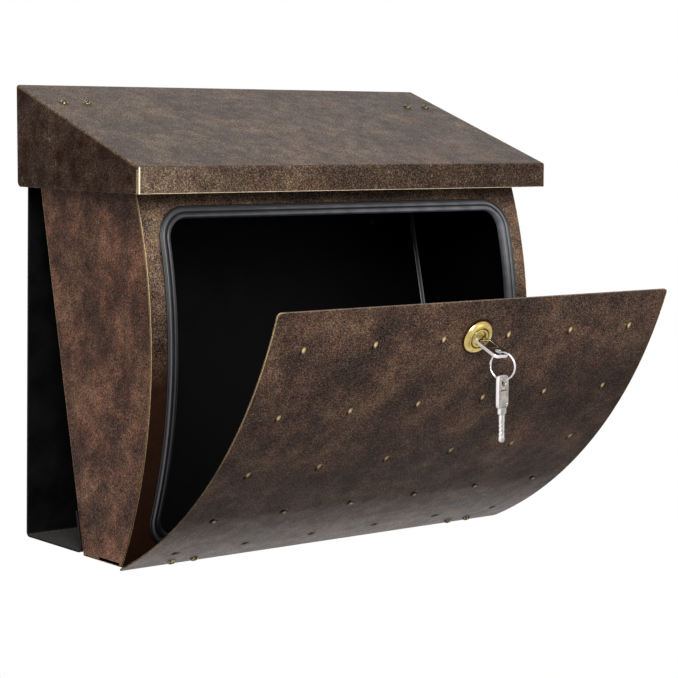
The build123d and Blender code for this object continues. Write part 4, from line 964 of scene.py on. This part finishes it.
def key_mesh(origin, x_way, z_way):
    """A key whose collar stands on origin, with its width along x_way and its bow along z_way."""
    bow_foot, bow_top = collar_length, collar_length + key_bow.z
    hole = [(across, high + bow_top - hole_inset) for across, high in
            rounded(2 * hole_radius, -hole_radius, hole_radius, hole_radius, 8)]
    panel = rounded(key_bow.x - 2 * bow_rim, bow_foot + bow_rim, bow_foot + bow_rim + 11.0, 1.4)
    inside = rounded(key_bow.x - bow_rim, bow_foot + 0.6 * bow_rim, bow_foot + 12.2, 1.2)
    groove = rounded(1.5, -blade_length + 3.0, -0.6, 0.7)
    fuller = rounded(2.6, -blade_length + 2.2, 0.4, 0.7)
    plates = [plate(key_bow.y, 0.3, rounded(key_bow.x, bow_foot, bow_top, 3.5), panel, hole),
              plate(key_bow.y - 0.7, 0.05, inside),
              plate(key_bow.y, 0.3, rounded(collar_width, 0.0, collar_length + 1.5, 0.6)),
              plate(blade_thickness, 0.15, blade_outline(), groove),
              plate(blade_thickness - 0.8, 0.05, fuller)]
    y_way = z_way.cross(x_way)
    into = Matrix((x_way, z_way, -y_way)).transposed().to_4x4()
    mesh = bmesh.new()
    for part in plates:
        mesh.from_mesh(part)
        bpy.data.meshes.remove(part)
    cut_side = mesh.faces.layers.float.new("cut_side")
    for face in mesh.faces:
        middle = face.calc_center_median()
        outer = abs(middle.x) > key_bow.x / 2 - 1 or not bow_foot + 1 < middle.y < bow_top - 1
        face[cut_side] = (1.0 if outer else 0.3) if abs(face.normal.z) < 0.6 else 0.0
    bmesh.ops.remove_doubles(mesh, verts=mesh.verts, dist=0.0005)
    bmesh.ops.transform(mesh, matrix=Matrix.Translation(origin) @ into @ Matrix.Scale(MM, 4),
                        verts=mesh.verts)
    return mesh


nickel, tree = new_material("nickel_plated_brass")
wear = mottle(tree, 4.0, 3.0, 0.6)
scratch = mottle(tree, 0.7, 2.0, 0.7)
cut_side = add(tree, "ShaderNodeAttribute", attribute_name="cut_side").outputs["Fac"]
flat_colour = add(tree, "ShaderNodeMix", {"Factor": wear, "A": "#8F8C82", "B": "#B5B2A8"}, data_type="RGBA")
colour = add(tree, "ShaderNodeMix", {"Factor": cut_side, "A": flat_colour, "B": "#F6F1F5"}, data_type="RGBA")
flat_rough = add(tree, "ShaderNodeMath", {0: scratch, 1: 0.12, 2: 0.08}, operation="MULTIPLY_ADD")
rough = add(tree, "ShaderNodeMath", {0: cut_side, 1: 0.35, 2: flat_rough}, operation="MULTIPLY_ADD")
metal = add(tree, "ShaderNodeMath", {0: cut_side, 1: -0.6, 2: 1.0}, operation="MULTIPLY_ADD")
finish_surface(tree, Base_Color=colour, Metallic=metal, Roughness=rough)
new_piece("key_in_lock", key_mesh(lock_middle + lock_way * plug_proud * MM, Vector((1, 0, 0)), lock_way),
          nickel, "lock_plug", "key_nickel", "inserted_key")

slide = next(joint for joint in frame["joints"] if joint["name"] == "hanging_key_slide")
ring_middle = Vector(slide["pos_m"])
ring_axis = Vector(slide["axis"])
spare_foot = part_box("hanging_key")[1].z - (key_bow.z + collar_length) * MM
new_piece("spare_key", key_mesh(Vector((ring_middle.x, ring_middle.y, spare_foot)), ring_axis,
                                Vector((0, 0, 1))),
          nickel, "hanging_key", "key_nickel", "hanging_key")


# ---------------------------------------------------------------- split ring
# The ring that joins the keys, coiled from two turns of nickel plated steel strip that lie side by
# side, with a short crossover where one turn passes to the other.
coil_radius = 9.85 * MM
strip = (0.86 * MM, 0.94 * MM)
coil_step = 1.0 * MM
crossover = math.radians(24)
y_way = Vector((0, 0, 1))
x_way = y_way.cross(ring_axis)
rings = []
steps = 168
for k in range(steps + 1):
    turn = (4 * math.pi - crossover) * k / steps
    passed = min(max((turn - 2 * math.pi + crossover) / crossover, 0), 1)
    aside = coil_step * (passed * passed * (3 - 2 * passed) - 0.5)
    out = x_way * math.cos(turn) + y_way * math.sin(turn)
    ring = []
    for across, high in rounded(strip[0], -strip[1] / 2, strip[1] / 2, 0.25 * MM, 2):
        ring.append(ring_middle + out * (coil_radius + across) + ring_axis * (aside + high))
    rings.append(ring)
mesh = bmesh.new()
skin_over(mesh, rings)
bright_nickel, tree = new_material("nickel_plated_spring_steel")
wear = mottle(tree, 3.0, 3.0, 0.6)
rough = add(tree, "ShaderNodeMapRange", {"Value": wear, "To Min": 0.2, "To Max": 0.34})
colour = add(tree, "ShaderNodeMix", {"Factor": wear, "A": "#CFCACE", "B": "#F1EDF2"}, data_type="RGBA")
finish_surface(tree, Base_Color=colour, Metallic=0.8, Roughness=rough)
new_piece("split_ring", mesh, bright_nickel, "key_ring", "key_nickel", "key_ring")


# ---------------------------------------------------------------- camera, lights and floor
# A plain studio: a white floor and backdrop, one large soft lamp high at the left and a weaker one
# in front at the right.
eye = Vector((-1.02998, -1.42543, 0.15752))
yaw, pitch, roll = 0.67371, 0.04416, 0.00998
forward = Vector((math.sin(yaw) * math.cos(pitch), math.cos(yaw) * math.cos(pitch), -math.sin(pitch)))
right = Vector((math.cos(yaw), -math.sin(yaw), 0))
up = right.cross(forward)
right, up = right * math.cos(roll) + up * math.sin(roll), up * math.cos(roll) - right * math.sin(roll)
camera_data = bpy.data.cameras.new("camera")
camera_data.sensor_width = 36
camera_data.lens = 112.77
camera_data.shift_x = 0.0192
camera_data.shift_y = -0.1926
camera_data.clip_start, camera_data.clip_end = 0.05, 50
camera = bpy.data.objects.new("camera", camera_data)
bpy.context.scene.collection.objects.link(camera)
turn = Matrix((right, up, -forward)).transposed()
camera.matrix_world = Matrix.Translation(eye) @ turn.to_4x4()
bpy.context.scene.camera = camera


def area_light(name, place, aim, side, watts):
    """A square soft lamp at a place, turned to what it lights."""
    data = bpy.data.lights.new(name, "AREA")
    data.shape, data.size, data.energy = "SQUARE", side, watts
    light = bpy.data.objects.new(name, data)
    bpy.context.scene.collection.objects.link(light)
    turn = (aim - place).to_track_quat("-Z", "Y")
    light.matrix_world = Matrix.Translation(place) @ turn.to_matrix().to_4x4()


object_middle = Vector((0, -0.1, 0))
area_light("key_light", Vector((-0.95, -1.25, 0.8)), object_middle, 0.8, 28)
area_light("fill_light", Vector((0.7, -1.9, 0.25)), object_middle, 1.2, 4)

floor_half, floor_level = 6.0, -1.2
floor_corners = [(x * floor_half, y * floor_half, floor_level)
                 for x, y in ((-1, -1), (1, -1), (1, 1), (-1, 1))]
floor_mesh = bpy.data.meshes.new("floor")
floor_mesh.from_pydata(floor_corners, [], [(0, 1, 2, 3)])
floor = bpy.data.objects.new("floor", floor_mesh)
bpy.context.scene.collection.objects.link(floor)


def looked_at(tree):
    """1 where the camera, or a reflection or glass in its view, sees the surface, and 0 for its light."""
    ray = add(tree, "ShaderNodeLightPath").outputs
    shown = add(tree, "ShaderNodeMath", {0: ray["Is Camera Ray"], 1: ray["Is Glossy Ray"]},
                operation="MAXIMUM")
    return add(tree, "ShaderNodeMath", {0: shown, 1: ray["Is Transmission Ray"]}, operation="MAXIMUM")


floor_material, tree = new_material("white_studio_floor")
diffuse = add(tree, "ShaderNodeBsdfDiffuse", {"Color": "#C4C3C0"})
glow = add(tree, "ShaderNodeEmission", {"Color": (1, 1, 1, 1), "Strength": 1.0})
mix = add(tree, "ShaderNodeMixShader", {0: looked_at(tree), 1: diffuse, 2: glow})
add(tree, "ShaderNodeOutputMaterial", {"Surface": mix})
floor_mesh.materials.append(floor_material)

world = bpy.data.worlds.new("white_studio")
bpy.context.scene.world = world
world.use_nodes = True
tree = world.node_tree
tree.nodes.clear()
strength = add(tree, "ShaderNodeMapRange", {"Value": looked_at(tree), "To Min": 0.22})
background = add(tree, "ShaderNodeBackground", {"Color": (1, 1, 1, 1), "Strength": strength})
add(tree, "ShaderNodeOutputWorld", {"Surface": background})

bpy.context.scene.view_settings.view_transform = "Standard"
